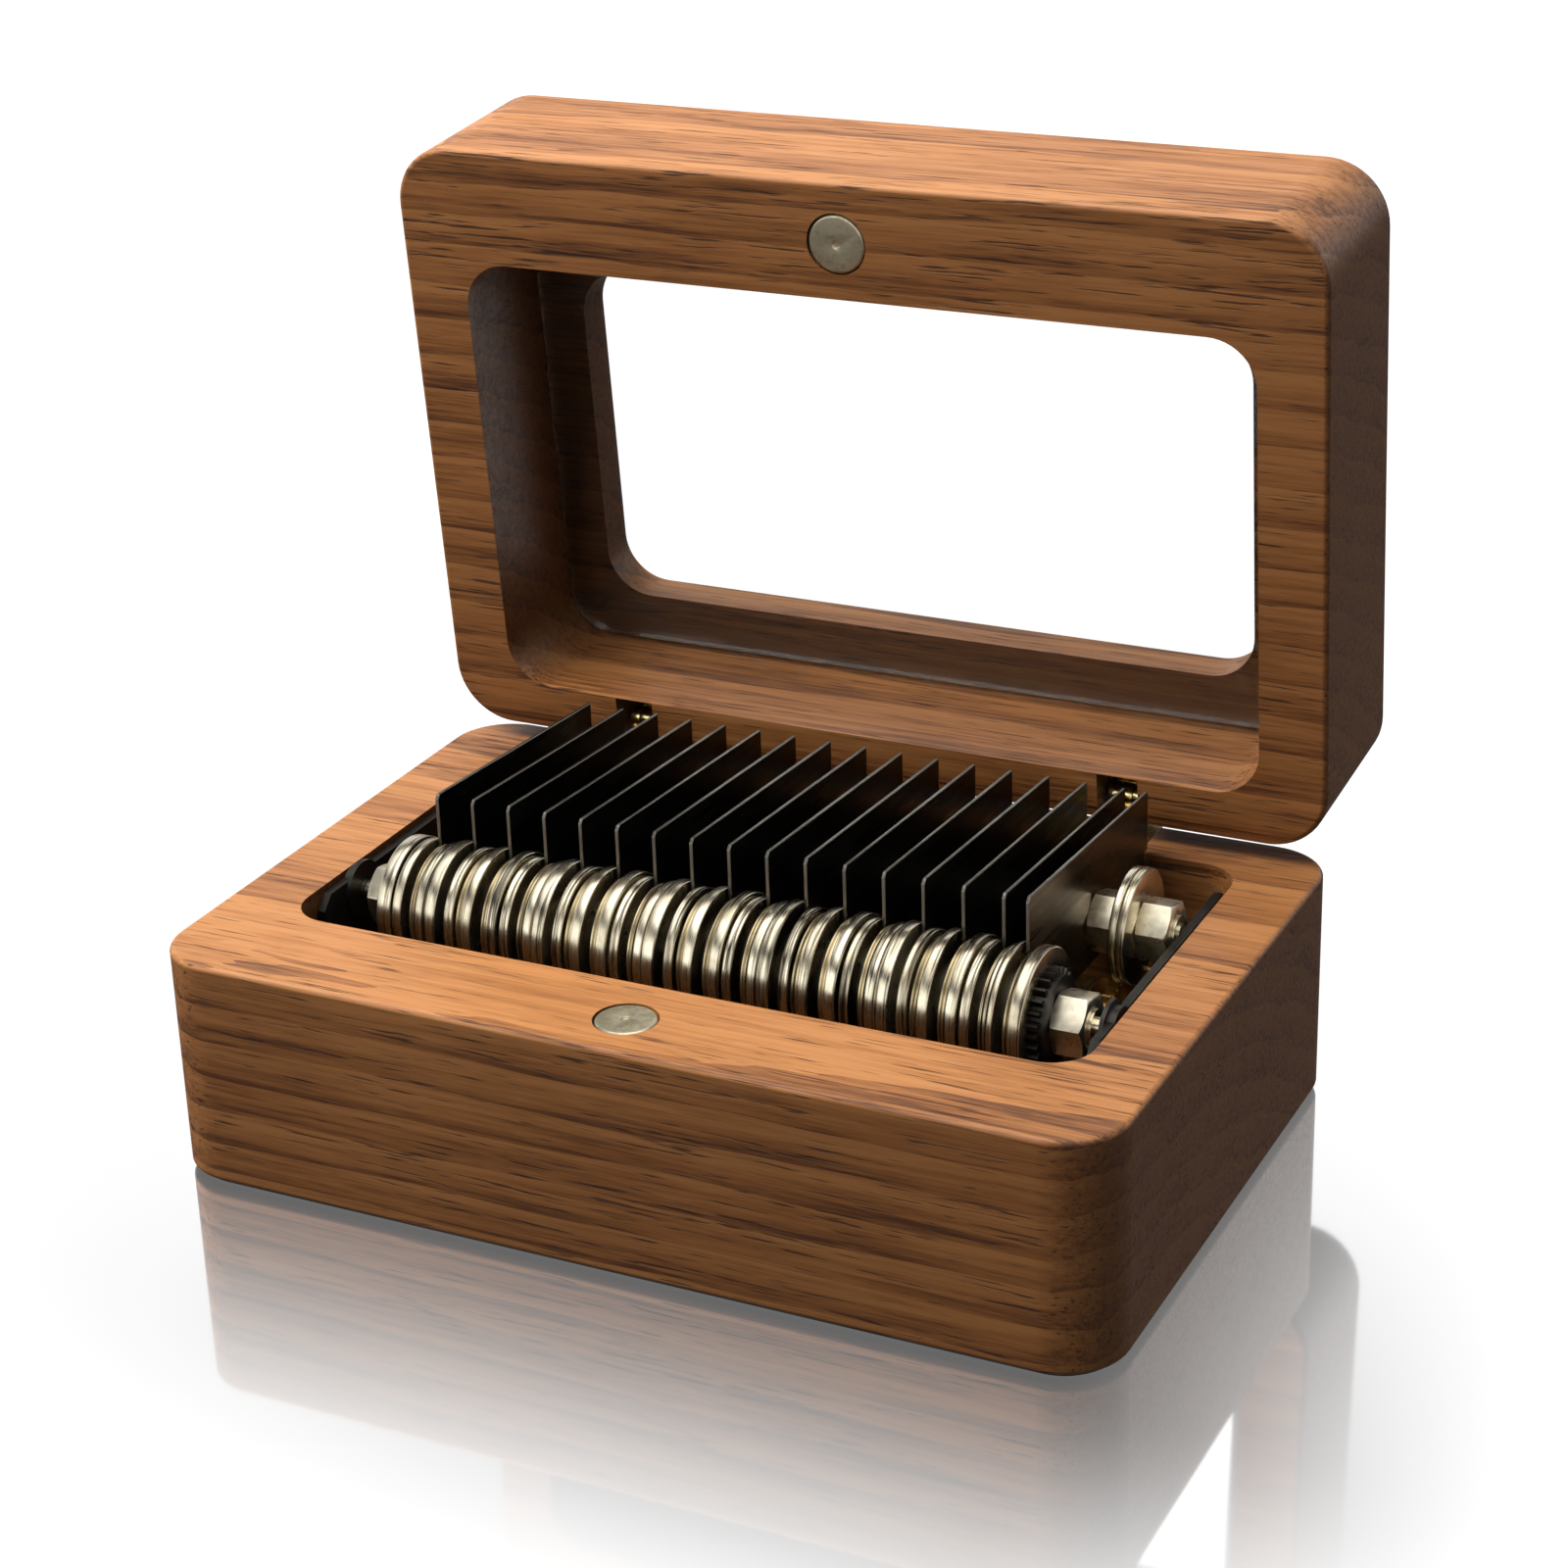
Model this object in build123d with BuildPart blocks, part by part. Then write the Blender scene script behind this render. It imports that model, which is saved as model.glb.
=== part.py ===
"""Wind-up music box: wooden case with a glazed lid, a tuned comb of steel plates and a driven disc stack.

Frame: +X to the right, +Y to the rear, +Z up, origin at the centre of the underside. Millimetres.
The lid stands open; turned shut about its hinge pins it lies flush on the base.
"""
from build123d import *
import os
from math import acos, atan2, cos, degrees, pi, radians, sin, tan

# ---- driving dimensions: case ----
box_width = 140.0
box_depth = 92.0
corner_radius = 9.0
edge_easing = 0.8
felt_thickness = 0.8
felt_inset = 1.5
base_height = 34.2
lid_thickness = 27.0
lid_open_angle = 85.0

pocket_half_width = 59.2
pocket_front = -27.6
pocket_rear = 36.1
pocket_floor = 4.0
pocket_radius = 6.0

window_half_width = 60.2
window_front = -29.2
window_rear = 38.7
window_radius = 7.0
window_depth = 21.0
ledge_width = 7.5
glass_thickness = 2.0
glass_gap = 0.5

# ---- hinges and magnets ----
hinge_x = 39.0
pivot_y = 44.2
pivot_z = 39.1
knuckle_radius = 2.0
centre_knuckle_half = 1.0
outer_knuckle_start = 1.1
outer_knuckle_end = 2.6
hinge_post_half = 1.5
leaf_half_width = 4.5
lid_leaf_half_width = 2.9
leaf_thickness = 1.2
leaf_front = 38.3
leaf_rear = 45.8
notch_half_width = 3.1
notch_front = 38.8
notch_height = 8.3
hinge_pin_radius = 0.8
running_clearance = 0.05
hinge_screw_radius = 0.7
hinge_screw_head = 1.3
hinge_screw_length = 6.0
screw_taper = 27.0
screw_slot_width = 0.3
screw_slot_depth = 0.3
leaf_screw_y = 40.0
leaf_screw_offset = 3.0
lid_screw_y = 43.6
swing_radius = 4.75
magnet_y = -37.2
magnet_radius = 4.25
magnet_thickness = 3.0
magnet_hole_radius = 4.45
magnet_mark_radius = 0.6
magnet_mark_depth = 0.25
edge_chamfer = 0.3

# ---- shafts: the disc stack turns in front, the comb rod is fixed behind it ----
stack_y = -10.3
stack_z = 31.0
comb_rod_y = 16.0
comb_rod_z = 33.0
rod_radius = 2.5
journal_radius = 1.4
nut_flats = 8.0
nut_thickness = 4.6
nut_chamfer = 0.7
nut_turn = -13.0

# ---- comb plates ----
plate_count = 17
plate_pitch = 5.75
last_pitch = 3.4
first_plate_x = -45.1
plate_thickness = 0.5
plate_front = -8.4
plate_rear = 36.0
plate_top_front = 46.8
plate_top_rear = 43.9
plate_corner = 0.6
plate_rear_low = 35.0
plate_tail_y = 34.8
plate_belly = 27.0
plate_tip_line = ((4.5, 27.0), (1.0, 33.0), (-4.0, 37.6), (-8.4, 38.8))
spacer_radius = 4.0

# ---- disc stack ----
gap_width = 1.15
slot_width = 0.3
large_radius = 9.5
medium_radius = 9.0
small_radius = 8.5
slot_radius = 7.4
drum_radius = 6.4
pin_tip_radius = 7.3
pin_radius = 0.25
pins_per_drum = 3
pin_foot = 6.0
pin_stagger = 137.5
pin_start = 40.0
left_washer_radius = 9.1

# ---- movement frame ----
sheet = 1.2
left_cheek_x = -58.9
right_cheek_x = 57.2
frame_front = -20.0
frame_rear = 31.4
cheek_top = 33.4
foot_length = 8.0
foot_rear = 2.0
bush_radius = 3.4
bush_flange_radius = 4.2
bush_flange = 0.6
screw_radius = 0.95
screw_head_radius = 1.9
screw_head_height = 1.0
frame_screw_slot = 0.5
screw_bottom = 1.6
foot_screw_x = 53.5
foot_screw_front = -16.0
foot_screw_rear = -4.0
rear_screw_y = 28.0
rear_screw_inner_x = -10.0
cheek_corner = 2.0

# ---- spring motor and train: spur gears of one module ----
module_mm = 0.5
great_teeth = 38
idler_teeth = 26
stack_teeth = 26
second_pinion_teeth = 10
second_wheel_teeth = 36
fan_pinion_teeth = 8
barrel_y = 14.0
barrel_z = 15.6
barrel_radius = 8.5
barrel_wall = 0.7
barrel_left = 20.0
barrel_right = 45.5
gear_left = 47.9
gear_right = 49.3
axial_gap = 0.2
second_wheel_left = 51.4
second_wheel_right = 52.6
arbor_radius = 1.5
stud_radius = 1.0
stud_reach = 0.4
second_hub_radius = 1.8
fan_hub_radius = 1.7
barrel_hub_radius = 4.0
barrel_end_wall = 1.0
barrel_cover_thickness = 0.8
vane_thickness = 0.7
vane_clearance = 0.5
fan_angle = 72.0
vane_radius = 4.3
clutch_wire = 0.4
clutch_length = 3.0
clutch_pitch = 0.88
clutch_collar_radius = 3.0
collar_length = 4.2
spring_strip = 0.35
spring_turns = 6.0
spring_inner_radius = 2.2
spring_margin = 0.15
spring_end_gap = 1.2
tooth_addendum = 0.9
tooth_dedendum = 1.2
tooth_share = 0.42
flank_angle = 20.0
root_angle = 14.0

# ---- winding key, on the left side ----
wall_hole_radius = 2.4
escutcheon_radius = 5.0
escutcheon_thickness = 0.8
key_hub_radius = 3.2
key_start = 2.0
key_hub_length = 9.0
key_wing_span = 10.0
key_wing_length = 9.0
key_thickness = 1.8
key_cap = 0.8
key_cap_hole = 0.6
key_eye_radius = 1.7
key_wing_centre = 6.2
escutcheon_neck = 2.0
escutcheon_gap = 0.1

os.makedirs("parts", exist_ok=True)

case_half = box_width / 2
tilt = radians(lid_open_angle)
lid_y_dir = (0.0, cos(tilt), -sin(tilt))
lid_z_dir = (0.0, sin(tilt), cos(tilt))
lid_origin_y = pivot_y - pivot_y * cos(tilt) + (base_height - pivot_z) * sin(tilt)
lid_origin_z = pivot_z + pivot_y * sin(tilt) + (base_height - pivot_z) * cos(tilt)


def lid_plane(height=0.0):
    """The lid's mating plane where it stands open, or one parallel to it, height above it."""
    origin = (0, lid_origin_y + height * lid_z_dir[1], lid_origin_z + height * lid_z_dir[2])
    return Plane(origin=origin, x_dir=(1, 0, 0), z_dir=lid_z_dir)


def lid_cross_plane(x):
    """A plane across the lid at x, with the lid's own depth and height as its axes."""
    return Plane(origin=(x, lid_origin_y, lid_origin_z), x_dir=lid_y_dir, z_dir=(1, 0, 0))


def cross_plane(x):
    """A plane across the box at x: sketch x runs to the rear and sketch y runs up."""
    return Plane(origin=(x, 0, 0), x_dir=(0, 1, 0), z_dir=(1, 0, 0))


def hand_in(builder, label):
    """Label a finished piece and write its STEP file."""
    builder.part.label = label
    export_step(builder.part, f"parts/{label}.step")


def plate_x(index):
    """Middle of comb plate number index, counted from 0; the last one stands closer."""
    if index == plate_count - 1:
        return first_plate_x + plate_pitch * (index - 1) + last_pitch
    return first_plate_x + plate_pitch * index


def ring(x_start, x_end, y, z, radius, hole):
    """A washer or tube along X, added to the part that is being built."""
    with BuildSketch(cross_plane(x_start)) as outline:
        with Locations((y, z)):
            Circle(radius)
            Circle(hole, mode=Mode.SUBTRACT)
    extrude(outline.sketch, amount=x_end - x_start)


def rod(x_start, x_end, y, z, radius):
    """A solid round bar along X, added to the part that is being built."""
    with BuildSketch(cross_plane(x_start)) as outline:
        with Locations((y, z)):
            Circle(radius)
    extrude(outline.sketch, amount=x_end - x_start)


def hex_nut(x_start, y, z):
    """A chamfered hexagon nut on a rod along X, added to the part that is being built."""
    with BuildPart(mode=Mode.PRIVATE) as blank:
        with BuildSketch(cross_plane(x_start)) as round_outline:
            with Locations((y, z)):
                Circle(nut_flats / 2 + nut_chamfer)
        extrude(round_outline.sketch, amount=nut_thickness)
        chamfer(blank.edges().filter_by(GeomType.CIRCLE), nut_chamfer / 2, nut_chamfer)
        with BuildSketch(cross_plane(x_start)) as outline:
            with Locations((y, z)):
                RegularPolygon(nut_flats / 2, 6, major_radius=False, rotation=nut_turn)
                Circle(rod_radius, mode=Mode.SUBTRACT)
        extrude(outline.sketch, amount=nut_thickness, mode=Mode.INTERSECT)
    add(blank.part)


# ---- gear geometry ----
def pitch_radius(teeth):
    return module_mm * teeth / 2


def gear_points(teeth, first_tooth_angle, y, z):
    """Corners of straight-flanked teeth with some backlash; angles in degrees from +Y towards +Z."""
    radius = pitch_radius(teeth)
    addendum = tooth_addendum * module_mm
    dedendum = tooth_dedendum * module_mm
    tip = radius + addendum
    root = radius - dedendum
    half_at_pitch = tooth_share * pi * module_mm / 2
    half_tip = (half_at_pitch - addendum * tan(radians(flank_angle))) / tip
    half_root = (half_at_pitch + dedendum * tan(radians(root_angle))) / root
    points = []
    for tooth in range(teeth):
        middle = radians(first_tooth_angle) + 2 * pi * tooth / teeth
        corners = ((root, -half_root), (tip, -half_tip), (tip, half_tip), (root, half_root))
        for reach, turn in corners:
            points.append((y + reach * cos(middle + turn), z + reach * sin(middle + turn)))
    return points


def toothed_disc(x_start, x_end, y, z, teeth, first_tooth_angle):
    """A spur gear blank with its teeth, added to the part that is being built."""
    with BuildSketch(cross_plane(x_start)) as outline:
        with BuildLine():
            Polyline(*gear_points(teeth, first_tooth_angle, y, z), close=True)
        make_face()
    extrude(outline.sketch, amount=x_end - x_start)


def meshed_angle(driver, driver_teeth, driver_angle, driven, driven_teeth):
    """First tooth angle of the driven gear that puts a space where the driver has a tooth."""
    line = degrees(atan2(driven[1] - driver[1], driven[0] - driver[0]))
    driver_share = (line - driver_angle) * driver_teeth / 360
    driven_share = 0.5 - driver_share
    return line + 180 - driven_share * 360 / driven_teeth


stack_axis = (stack_y, stack_z)
barrel_axis = (barrel_y, barrel_z)
centre_line = ((barrel_y - stack_y) ** 2 + (barrel_z - stack_z) ** 2) ** 0.5
to_stack_gear = pitch_radius(stack_teeth) + pitch_radius(idler_teeth)
to_great_wheel = pitch_radius(great_teeth) + pitch_radius(idler_teeth)
line_angle = atan2(barrel_z - stack_z, barrel_y - stack_y)
idler_turn = acos(
    (to_stack_gear**2 + centre_line**2 - to_great_wheel**2) / (2 * to_stack_gear * centre_line)
)
idler_axis = (
    stack_y + to_stack_gear * cos(line_angle - idler_turn),
    stack_z + to_stack_gear * sin(line_angle - idler_turn),
)
second_axis = (barrel_y + pitch_radius(great_teeth) + pitch_radius(second_pinion_teeth), barrel_z)
fan_reach = pitch_radius(second_wheel_teeth) + pitch_radius(fan_pinion_teeth)
fan_axis = (
    second_axis[0] + fan_reach * cos(radians(fan_angle)),
    second_axis[1] + fan_reach * sin(radians(fan_angle)),
)
great_angle = 0.0
idler_angle = meshed_angle(barrel_axis, great_teeth, great_angle, idler_axis, idler_teeth)
stack_gear_angle = meshed_angle(idler_axis, idler_teeth, idler_angle, stack_axis, stack_teeth)
second_pinion_angle = meshed_angle(barrel_axis, great_teeth, great_angle, second_axis, second_pinion_teeth)
fan_pinion_angle = meshed_angle(second_axis, second_wheel_teeth, 0.0, fan_axis, fan_pinion_teeth)


# ---- case: base ----
pocket_centre = (0, (pocket_front + pocket_rear) / 2)
pocket_size = (2 * pocket_half_width, pocket_rear - pocket_front)
leaf_middle = (leaf_front + leaf_rear) / 2
leaf_screw_spots = [
    (side * hinge_x + way * leaf_screw_offset, leaf_screw_y) for side in (-1, 1) for way in (-1, 1)
]
lid_screw_spots = [(-hinge_x, lid_screw_y), (hinge_x, lid_screw_y)]
foot_screw_spots = [
    (side * foot_screw_x, y) for side in (-1, 1) for y in (foot_screw_front, foot_screw_rear)
]
rear_screw_spots = [(-foot_screw_x, rear_screw_y), (rear_screw_inner_x, rear_screw_y)]
screw_spots = foot_screw_spots + rear_screw_spots
pin_height = pivot_z - base_height

with BuildPart() as base_block:
    with BuildSketch(Plane.XY.offset(felt_thickness)):
        RectangleRounded(box_width, box_depth, corner_radius)
    extrude(amount=base_height - felt_thickness)
    fillet(base_block.edges().group_by(Axis.Z)[0], edge_easing)
    fillet(base_block.edges().group_by(Axis.Z)[-1], edge_easing)
    with BuildSketch(Plane.XY.offset(pocket_floor)):
        with Locations(pocket_centre):
            RectangleRounded(*pocket_size, pocket_radius)
    extrude(amount=base_height - pocket_floor, mode=Mode.SUBTRACT)
    with BuildSketch(Plane.XY.offset(base_height - magnet_thickness)):
        with Locations((0, magnet_y)):
            Circle(magnet_hole_radius)
    extrude(amount=magnet_thickness, mode=Mode.SUBTRACT)
    with BuildSketch(Plane.XY.offset(base_height - leaf_thickness)):
        with Locations((-hinge_x, leaf_middle), (hinge_x, leaf_middle)):
            Rectangle(2 * leaf_half_width, leaf_rear - leaf_front)
    extrude(amount=leaf_thickness, mode=Mode.SUBTRACT)
    with BuildSketch(Plane.XY.offset(base_height - hinge_screw_length)):
        with Locations(*leaf_screw_spots):
            Circle(hinge_screw_radius)
    extrude(amount=hinge_screw_length, mode=Mode.SUBTRACT)
    with BuildSketch(Plane.XY.offset(screw_bottom)):
        with Locations(*screw_spots):
            Circle(screw_radius)
    extrude(amount=pocket_floor - screw_bottom, mode=Mode.SUBTRACT)
    with BuildSketch(cross_plane(-case_half)):
        with Locations(barrel_axis):
            Circle(wall_hole_radius)
    extrude(amount=case_half - pocket_half_width, mode=Mode.SUBTRACT)
hand_in(base_block, "base_block")

with BuildPart() as base_felt:
    with BuildSketch(Plane.XY):
        RectangleRounded(
            box_width - 2 * felt_inset, box_depth - 2 * felt_inset, corner_radius - felt_inset
        )
    extrude(amount=felt_thickness)
hand_in(base_felt, "base_felt")

with BuildPart() as base_magnet:
    with BuildSketch(Plane.XY.offset(base_height - magnet_thickness)):
        with Locations((0, magnet_y)):
            Circle(magnet_radius)
    extrude(amount=magnet_thickness)
    chamfer(base_magnet.edges().group_by(Axis.Z)[-1], edge_chamfer)
    with BuildSketch(Plane.XY.offset(base_height - magnet_mark_depth)):
        with Locations((0, magnet_y)):
            Circle(magnet_mark_radius)
    extrude(amount=magnet_mark_depth, mode=Mode.SUBTRACT)
hand_in(base_magnet, "base_magnet")

# ---- case: lid, made where it stands open ----
window_centre = (0, (window_front + window_rear) / 2)
window_size = (2 * window_half_width, window_rear - window_front)
lid_axis = Axis((0, lid_origin_y, lid_origin_z), lid_z_dir)

with BuildPart() as lid_frame:
    with BuildSketch(lid_plane()):
        RectangleRounded(box_width, box_depth, corner_radius)
    extrude(amount=lid_thickness)
    fillet(lid_frame.edges().group_by(lid_axis)[0], edge_easing)
    fillet(lid_frame.edges().group_by(lid_axis)[-1], edge_easing)
    with BuildSketch(lid_plane()):
        with Locations(window_centre):
            RectangleRounded(*window_size, window_radius)
    extrude(amount=window_depth, mode=Mode.SUBTRACT)
    with BuildSketch(lid_plane(window_depth)):
        with Locations(window_centre):
            RectangleRounded(
                window_size[0] - 2 * ledge_width, window_size[1] - 2 * ledge_width, window_radius
            )
    extrude(amount=lid_thickness - window_depth, mode=Mode.SUBTRACT)
    with BuildSketch(lid_plane()):
        with Locations((0, magnet_y)):
            Circle(magnet_hole_radius)
    extrude(amount=magnet_thickness, mode=Mode.SUBTRACT)
    with BuildSketch(lid_plane()):
        notch_depth = box_depth / 2 - notch_front
        notch_middle = notch_front + notch_depth / 2
        with Locations((-hinge_x, notch_middle), (hinge_x, notch_middle)):
            Rectangle(2 * notch_half_width, notch_depth)
    extrude(amount=notch_height, mode=Mode.SUBTRACT)
    with BuildSketch(lid_plane(notch_height)):
        with Locations(*lid_screw_spots):
            Circle(hinge_screw_radius)
    extrude(amount=hinge_screw_length - leaf_thickness, mode=Mode.SUBTRACT)
    with BuildSketch(lid_cross_plane(-case_half)):
        with Locations(((pivot_y + box_depth / 2) / 2, pin_height / 2)):
            Rectangle(box_depth / 2 - pivot_y, pin_height)
        with Locations((pivot_y, pin_height)):
            Circle(swing_radius, mode=Mode.SUBTRACT)
    extrude(amount=box_width, mode=Mode.SUBTRACT)
hand_in(lid_frame, "lid_frame")

with BuildPart() as glass_pane:
    with BuildSketch(lid_plane(window_depth - glass_thickness)):
        with Locations(window_centre):
            RectangleRounded(
                window_size[0] - 2 * glass_gap, window_size[1] - 2 * glass_gap, window_radius - glass_gap
            )
    extrude(amount=glass_thickness)
    chamfer(glass_pane.edges().group_by(lid_axis)[0], edge_chamfer)
hand_in(glass_pane, "glass_pane")

with BuildPart() as lid_magnet:
    with BuildSketch(lid_plane()):
        with Locations((0, magnet_y)):
            Circle(magnet_radius)
    extrude(amount=magnet_thickness)
    chamfer(lid_magnet.edges().group_by(lid_axis)[0], edge_chamfer)
    with BuildSketch(lid_plane()):
        with Locations((0, magnet_y)):
            Circle(magnet_mark_radius)
    extrude(amount=magnet_mark_depth, mode=Mode.SUBTRACT)
hand_in(lid_magnet, "lid_magnet")

# ---- hinges ----
with BuildPart() as hinge_base_leaves:
    for side in (-1, 1):
        x = side * hinge_x
        with BuildSketch(Plane.XY.offset(base_height - leaf_thickness)):
            with Locations((x, leaf_middle)):
                Rectangle(2 * leaf_half_width, leaf_rear - leaf_front)
        extrude(amount=leaf_thickness)
        with BuildSketch(cross_plane(x - centre_knuckle_half)):
            with Locations((pivot_y, (pivot_z + base_height) / 2)):
                Rectangle(2 * hinge_post_half, pivot_z - base_height)
            with Locations((pivot_y, pivot_z)):
                Circle(knuckle_radius)
        extrude(amount=2 * centre_knuckle_half)
        with BuildSketch(cross_plane(x - centre_knuckle_half)):
            with Locations((pivot_y, pivot_z)):
                Circle(hinge_pin_radius)
        extrude(amount=2 * centre_knuckle_half, mode=Mode.SUBTRACT)
    with BuildSketch(Plane.XY.offset(base_height - leaf_thickness)):
        with Locations(*leaf_screw_spots):
            Circle(hinge_screw_radius)
    extrude(amount=leaf_thickness, taper=-screw_taper, mode=Mode.SUBTRACT)
hand_in(hinge_base_leaves, "hinge_base_leaves")

with BuildPart() as hinge_lid_leaves:
    for side in (-1, 1):
        x = side * hinge_x
        with BuildSketch(lid_plane(notch_height - leaf_thickness)):
            with Locations((x, (notch_front + leaf_rear) / 2)):
                Rectangle(2 * lid_leaf_half_width, leaf_rear - notch_front)
        extrude(amount=leaf_thickness)
        arm_top = notch_height - leaf_thickness
        for start in (x - outer_knuckle_end, x + outer_knuckle_start):
            with BuildSketch(lid_cross_plane(start)):
                with Locations((pivot_y, (pin_height + arm_top) / 2)):
                    Rectangle(2 * hinge_post_half, arm_top - pin_height)
                with Locations((pivot_y, pin_height)):
                    Circle(knuckle_radius)
            extrude(amount=outer_knuckle_end - outer_knuckle_start)
            with BuildSketch(lid_cross_plane(start)):
                with Locations((pivot_y, pin_height)):
                    Circle(hinge_pin_radius + running_clearance)
            extrude(amount=outer_knuckle_end - outer_knuckle_start, mode=Mode.SUBTRACT)
    with BuildSketch(lid_plane(notch_height - leaf_thickness)):
        with Locations(*lid_screw_spots):
            Circle(hinge_screw_head)
    extrude(amount=leaf_thickness, taper=screw_taper, mode=Mode.SUBTRACT)
hand_in(hinge_lid_leaves, "hinge_lid_leaves")

with BuildPart() as hinge_pins:
    for x in (-hinge_x, hinge_x):
        rod(x - lid_leaf_half_width, x + lid_leaf_half_width, pivot_y, pivot_z, hinge_pin_radius)
hand_in(hinge_pins, "hinge_pins")

with BuildPart() as hinge_base_screws:
    with BuildSketch(Plane.XY.offset(base_height - hinge_screw_length)):
        with Locations(*leaf_screw_spots):
            Circle(hinge_screw_radius)
    extrude(amount=hinge_screw_length - leaf_thickness)
    with BuildSketch(Plane.XY.offset(base_height - leaf_thickness)):
        with Locations(*leaf_screw_spots):
            Circle(hinge_screw_radius)
    extrude(amount=leaf_thickness, taper=-screw_taper)
    with BuildSketch(Plane.XY.offset(base_height - screw_slot_depth)):
        with Locations(*leaf_screw_spots):
            Rectangle(2 * hinge_screw_head, screw_slot_width)
    extrude(amount=screw_slot_depth, mode=Mode.SUBTRACT)
hand_in(hinge_base_screws, "hinge_base_screws")

with BuildPart() as hinge_lid_screws:
    with BuildSketch(lid_plane(notch_height - leaf_thickness)):
        with Locations(*lid_screw_spots):
            Circle(hinge_screw_head)
    extrude(amount=leaf_thickness, taper=screw_taper)
    with BuildSketch(lid_plane(notch_height)):
        with Locations(*lid_screw_spots):
            Circle(hinge_screw_radius)
    extrude(amount=hinge_screw_length - leaf_thickness)
hand_in(hinge_lid_screws, "hinge_lid_screws")

# ---- movement frame ----
with BuildPart() as bedplate:
    with BuildSketch(Plane.XY.offset(pocket_floor)):
        bed_middle = ((left_cheek_x + right_cheek_x + sheet) / 2, (frame_front + frame_rear) / 2)
        with Locations(bed_middle):
            Rectangle(right_cheek_x + sheet - left_cheek_x, frame_rear - frame_front)
        with Locations(*screw_spots):
            Circle(screw_radius, mode=Mode.SUBTRACT)
    extrude(amount=sheet)
hand_in(bedplate, "bedplate")


def cheek(x_start, foot_side, bores):
    """Upright end plate with a foot to the side foot_side, +1 or -1; bores are y, z, radius."""
    with BuildPart() as piece:
        with BuildSketch(cross_plane(x_start)):
            with BuildLine():
                Polyline(
                    (frame_front, pocket_floor + sheet),
                    (frame_rear, pocket_floor + sheet),
                    (frame_rear, cheek_top - cheek_corner),
                    (frame_rear - cheek_corner, cheek_top),
                    (frame_front + cheek_corner, cheek_top),
                    (frame_front, cheek_top - cheek_corner),
                    close=True,
                )
            make_face()
            for y, z, radius in bores:
                with Locations((y, z)):
                    Circle(radius, mode=Mode.SUBTRACT)
        extrude(amount=sheet)
        foot_middle = x_start + sheet / 2 + foot_side * (foot_length + sheet) / 2
        with BuildSketch(Plane.XY.offset(pocket_floor + sheet)):
            with Locations((foot_middle, (frame_front + foot_rear) / 2)):
                Rectangle(foot_length, foot_rear - frame_front)
            with Locations(*foot_screw_spots):
                Circle(screw_radius, mode=Mode.SUBTRACT)
        extrude(amount=sheet)
    return piece


arbor_bore = (*barrel_axis, arbor_radius + running_clearance)
stud_bores = [(*axis, stud_radius) for axis in (idler_axis, second_axis, fan_axis)]
left_cheek = cheek(left_cheek_x, 1, [(*stack_axis, bush_radius), arbor_bore])
hand_in(left_cheek, "left_cheek")
right_cheek = cheek(right_cheek_x, -1, [(*stack_axis, bush_radius), arbor_bore, *stud_bores])
hand_in(right_cheek, "right_cheek")

with BuildPart() as shaft_bushes:
    for start, flange_start in (
        (left_cheek_x, left_cheek_x + sheet),
        (right_cheek_x, right_cheek_x - bush_flange),
    ):
        journal_bore = journal_radius + running_clearance
        flange_end = flange_start + bush_flange
        ring(start, start + sheet, *stack_axis, bush_radius, journal_bore)
        ring(flange_start, flange_end, *stack_axis, bush_flange_radius, journal_bore)
hand_in(shaft_bushes, "shaft_bushes")

upwards = (Align.CENTER, Align.CENTER, Align.MIN)
downwards = (Align.CENTER, Align.CENTER, Align.MAX)

with BuildPart() as frame_screws:
    foot_seat = pocket_floor + 2 * sheet
    rear_seat = pocket_floor + sheet
    seats = [(*spot, foot_seat) for spot in foot_screw_spots]
    seats += [(*spot, rear_seat) for spot in rear_screw_spots]
    for x, y, seat in seats:
        with Locations((x, y, seat)):
            Cylinder(screw_head_radius, screw_head_height, align=upwards)
        with Locations((x, y, seat + screw_head_height)):
            Box(
                2 * screw_head_radius,
                frame_screw_slot,
                frame_screw_slot,
                align=downwards,
                mode=Mode.SUBTRACT,
            )
        with Locations((x, y, screw_bottom)):
            Cylinder(screw_radius, seat - screw_bottom, align=upwards)
hand_in(frame_screws, "frame_screws")

with BuildPart() as train_studs:
    gear_plane_studs = [(idler_axis, gear_left), (second_axis, gear_left)]
    for axis, start in (*gear_plane_studs, (fan_axis, second_wheel_left)):
        rod(start - stud_reach, right_cheek_x + sheet, *axis, stud_radius)
hand_in(train_studs, "train_studs")

# ---- comb: plates clamped on a fixed threaded rod between spacers and nuts ----
comb_axis = (comb_rod_y, comb_rod_z)
comb_left_nut_x = plate_x(0) - plate_thickness / 2 - nut_thickness
comb_right_nut_x = plate_x(plate_count - 1) + plate_thickness / 2
washer_thickness = 1.15
washer_gap = 0.1
comb_washer_radius = 8.2
comb_washer_x = comb_right_nut_x + nut_thickness
outer_nut_x = comb_washer_x + 2 * washer_thickness + washer_gap
rod_end = 0.5


def comb_plate(index):
    """One comb plate: a dark steel tongue whose lower front tip hangs in a gap of the disc stack."""
    with BuildPart() as piece:
        with BuildSketch(cross_plane(plate_x(index) - plate_thickness / 2)):
            with BuildLine():
                Polyline(
                    (plate_front, plate_top_front - plate_corner),
                    (plate_front + plate_corner, plate_top_front),
                    (plate_rear, plate_top_rear),
                    (plate_rear, plate_rear_low),
                    (plate_tail_y, plate_rear_low),
                    (plate_tail_y, plate_belly),
                    *plate_tip_line,
                    close=True,
                )
            make_face()
            with Locations(comb_axis):
                Circle(rod_radius, mode=Mode.SUBTRACT)
        extrude(amount=plate_thickness)
    return piece


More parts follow.
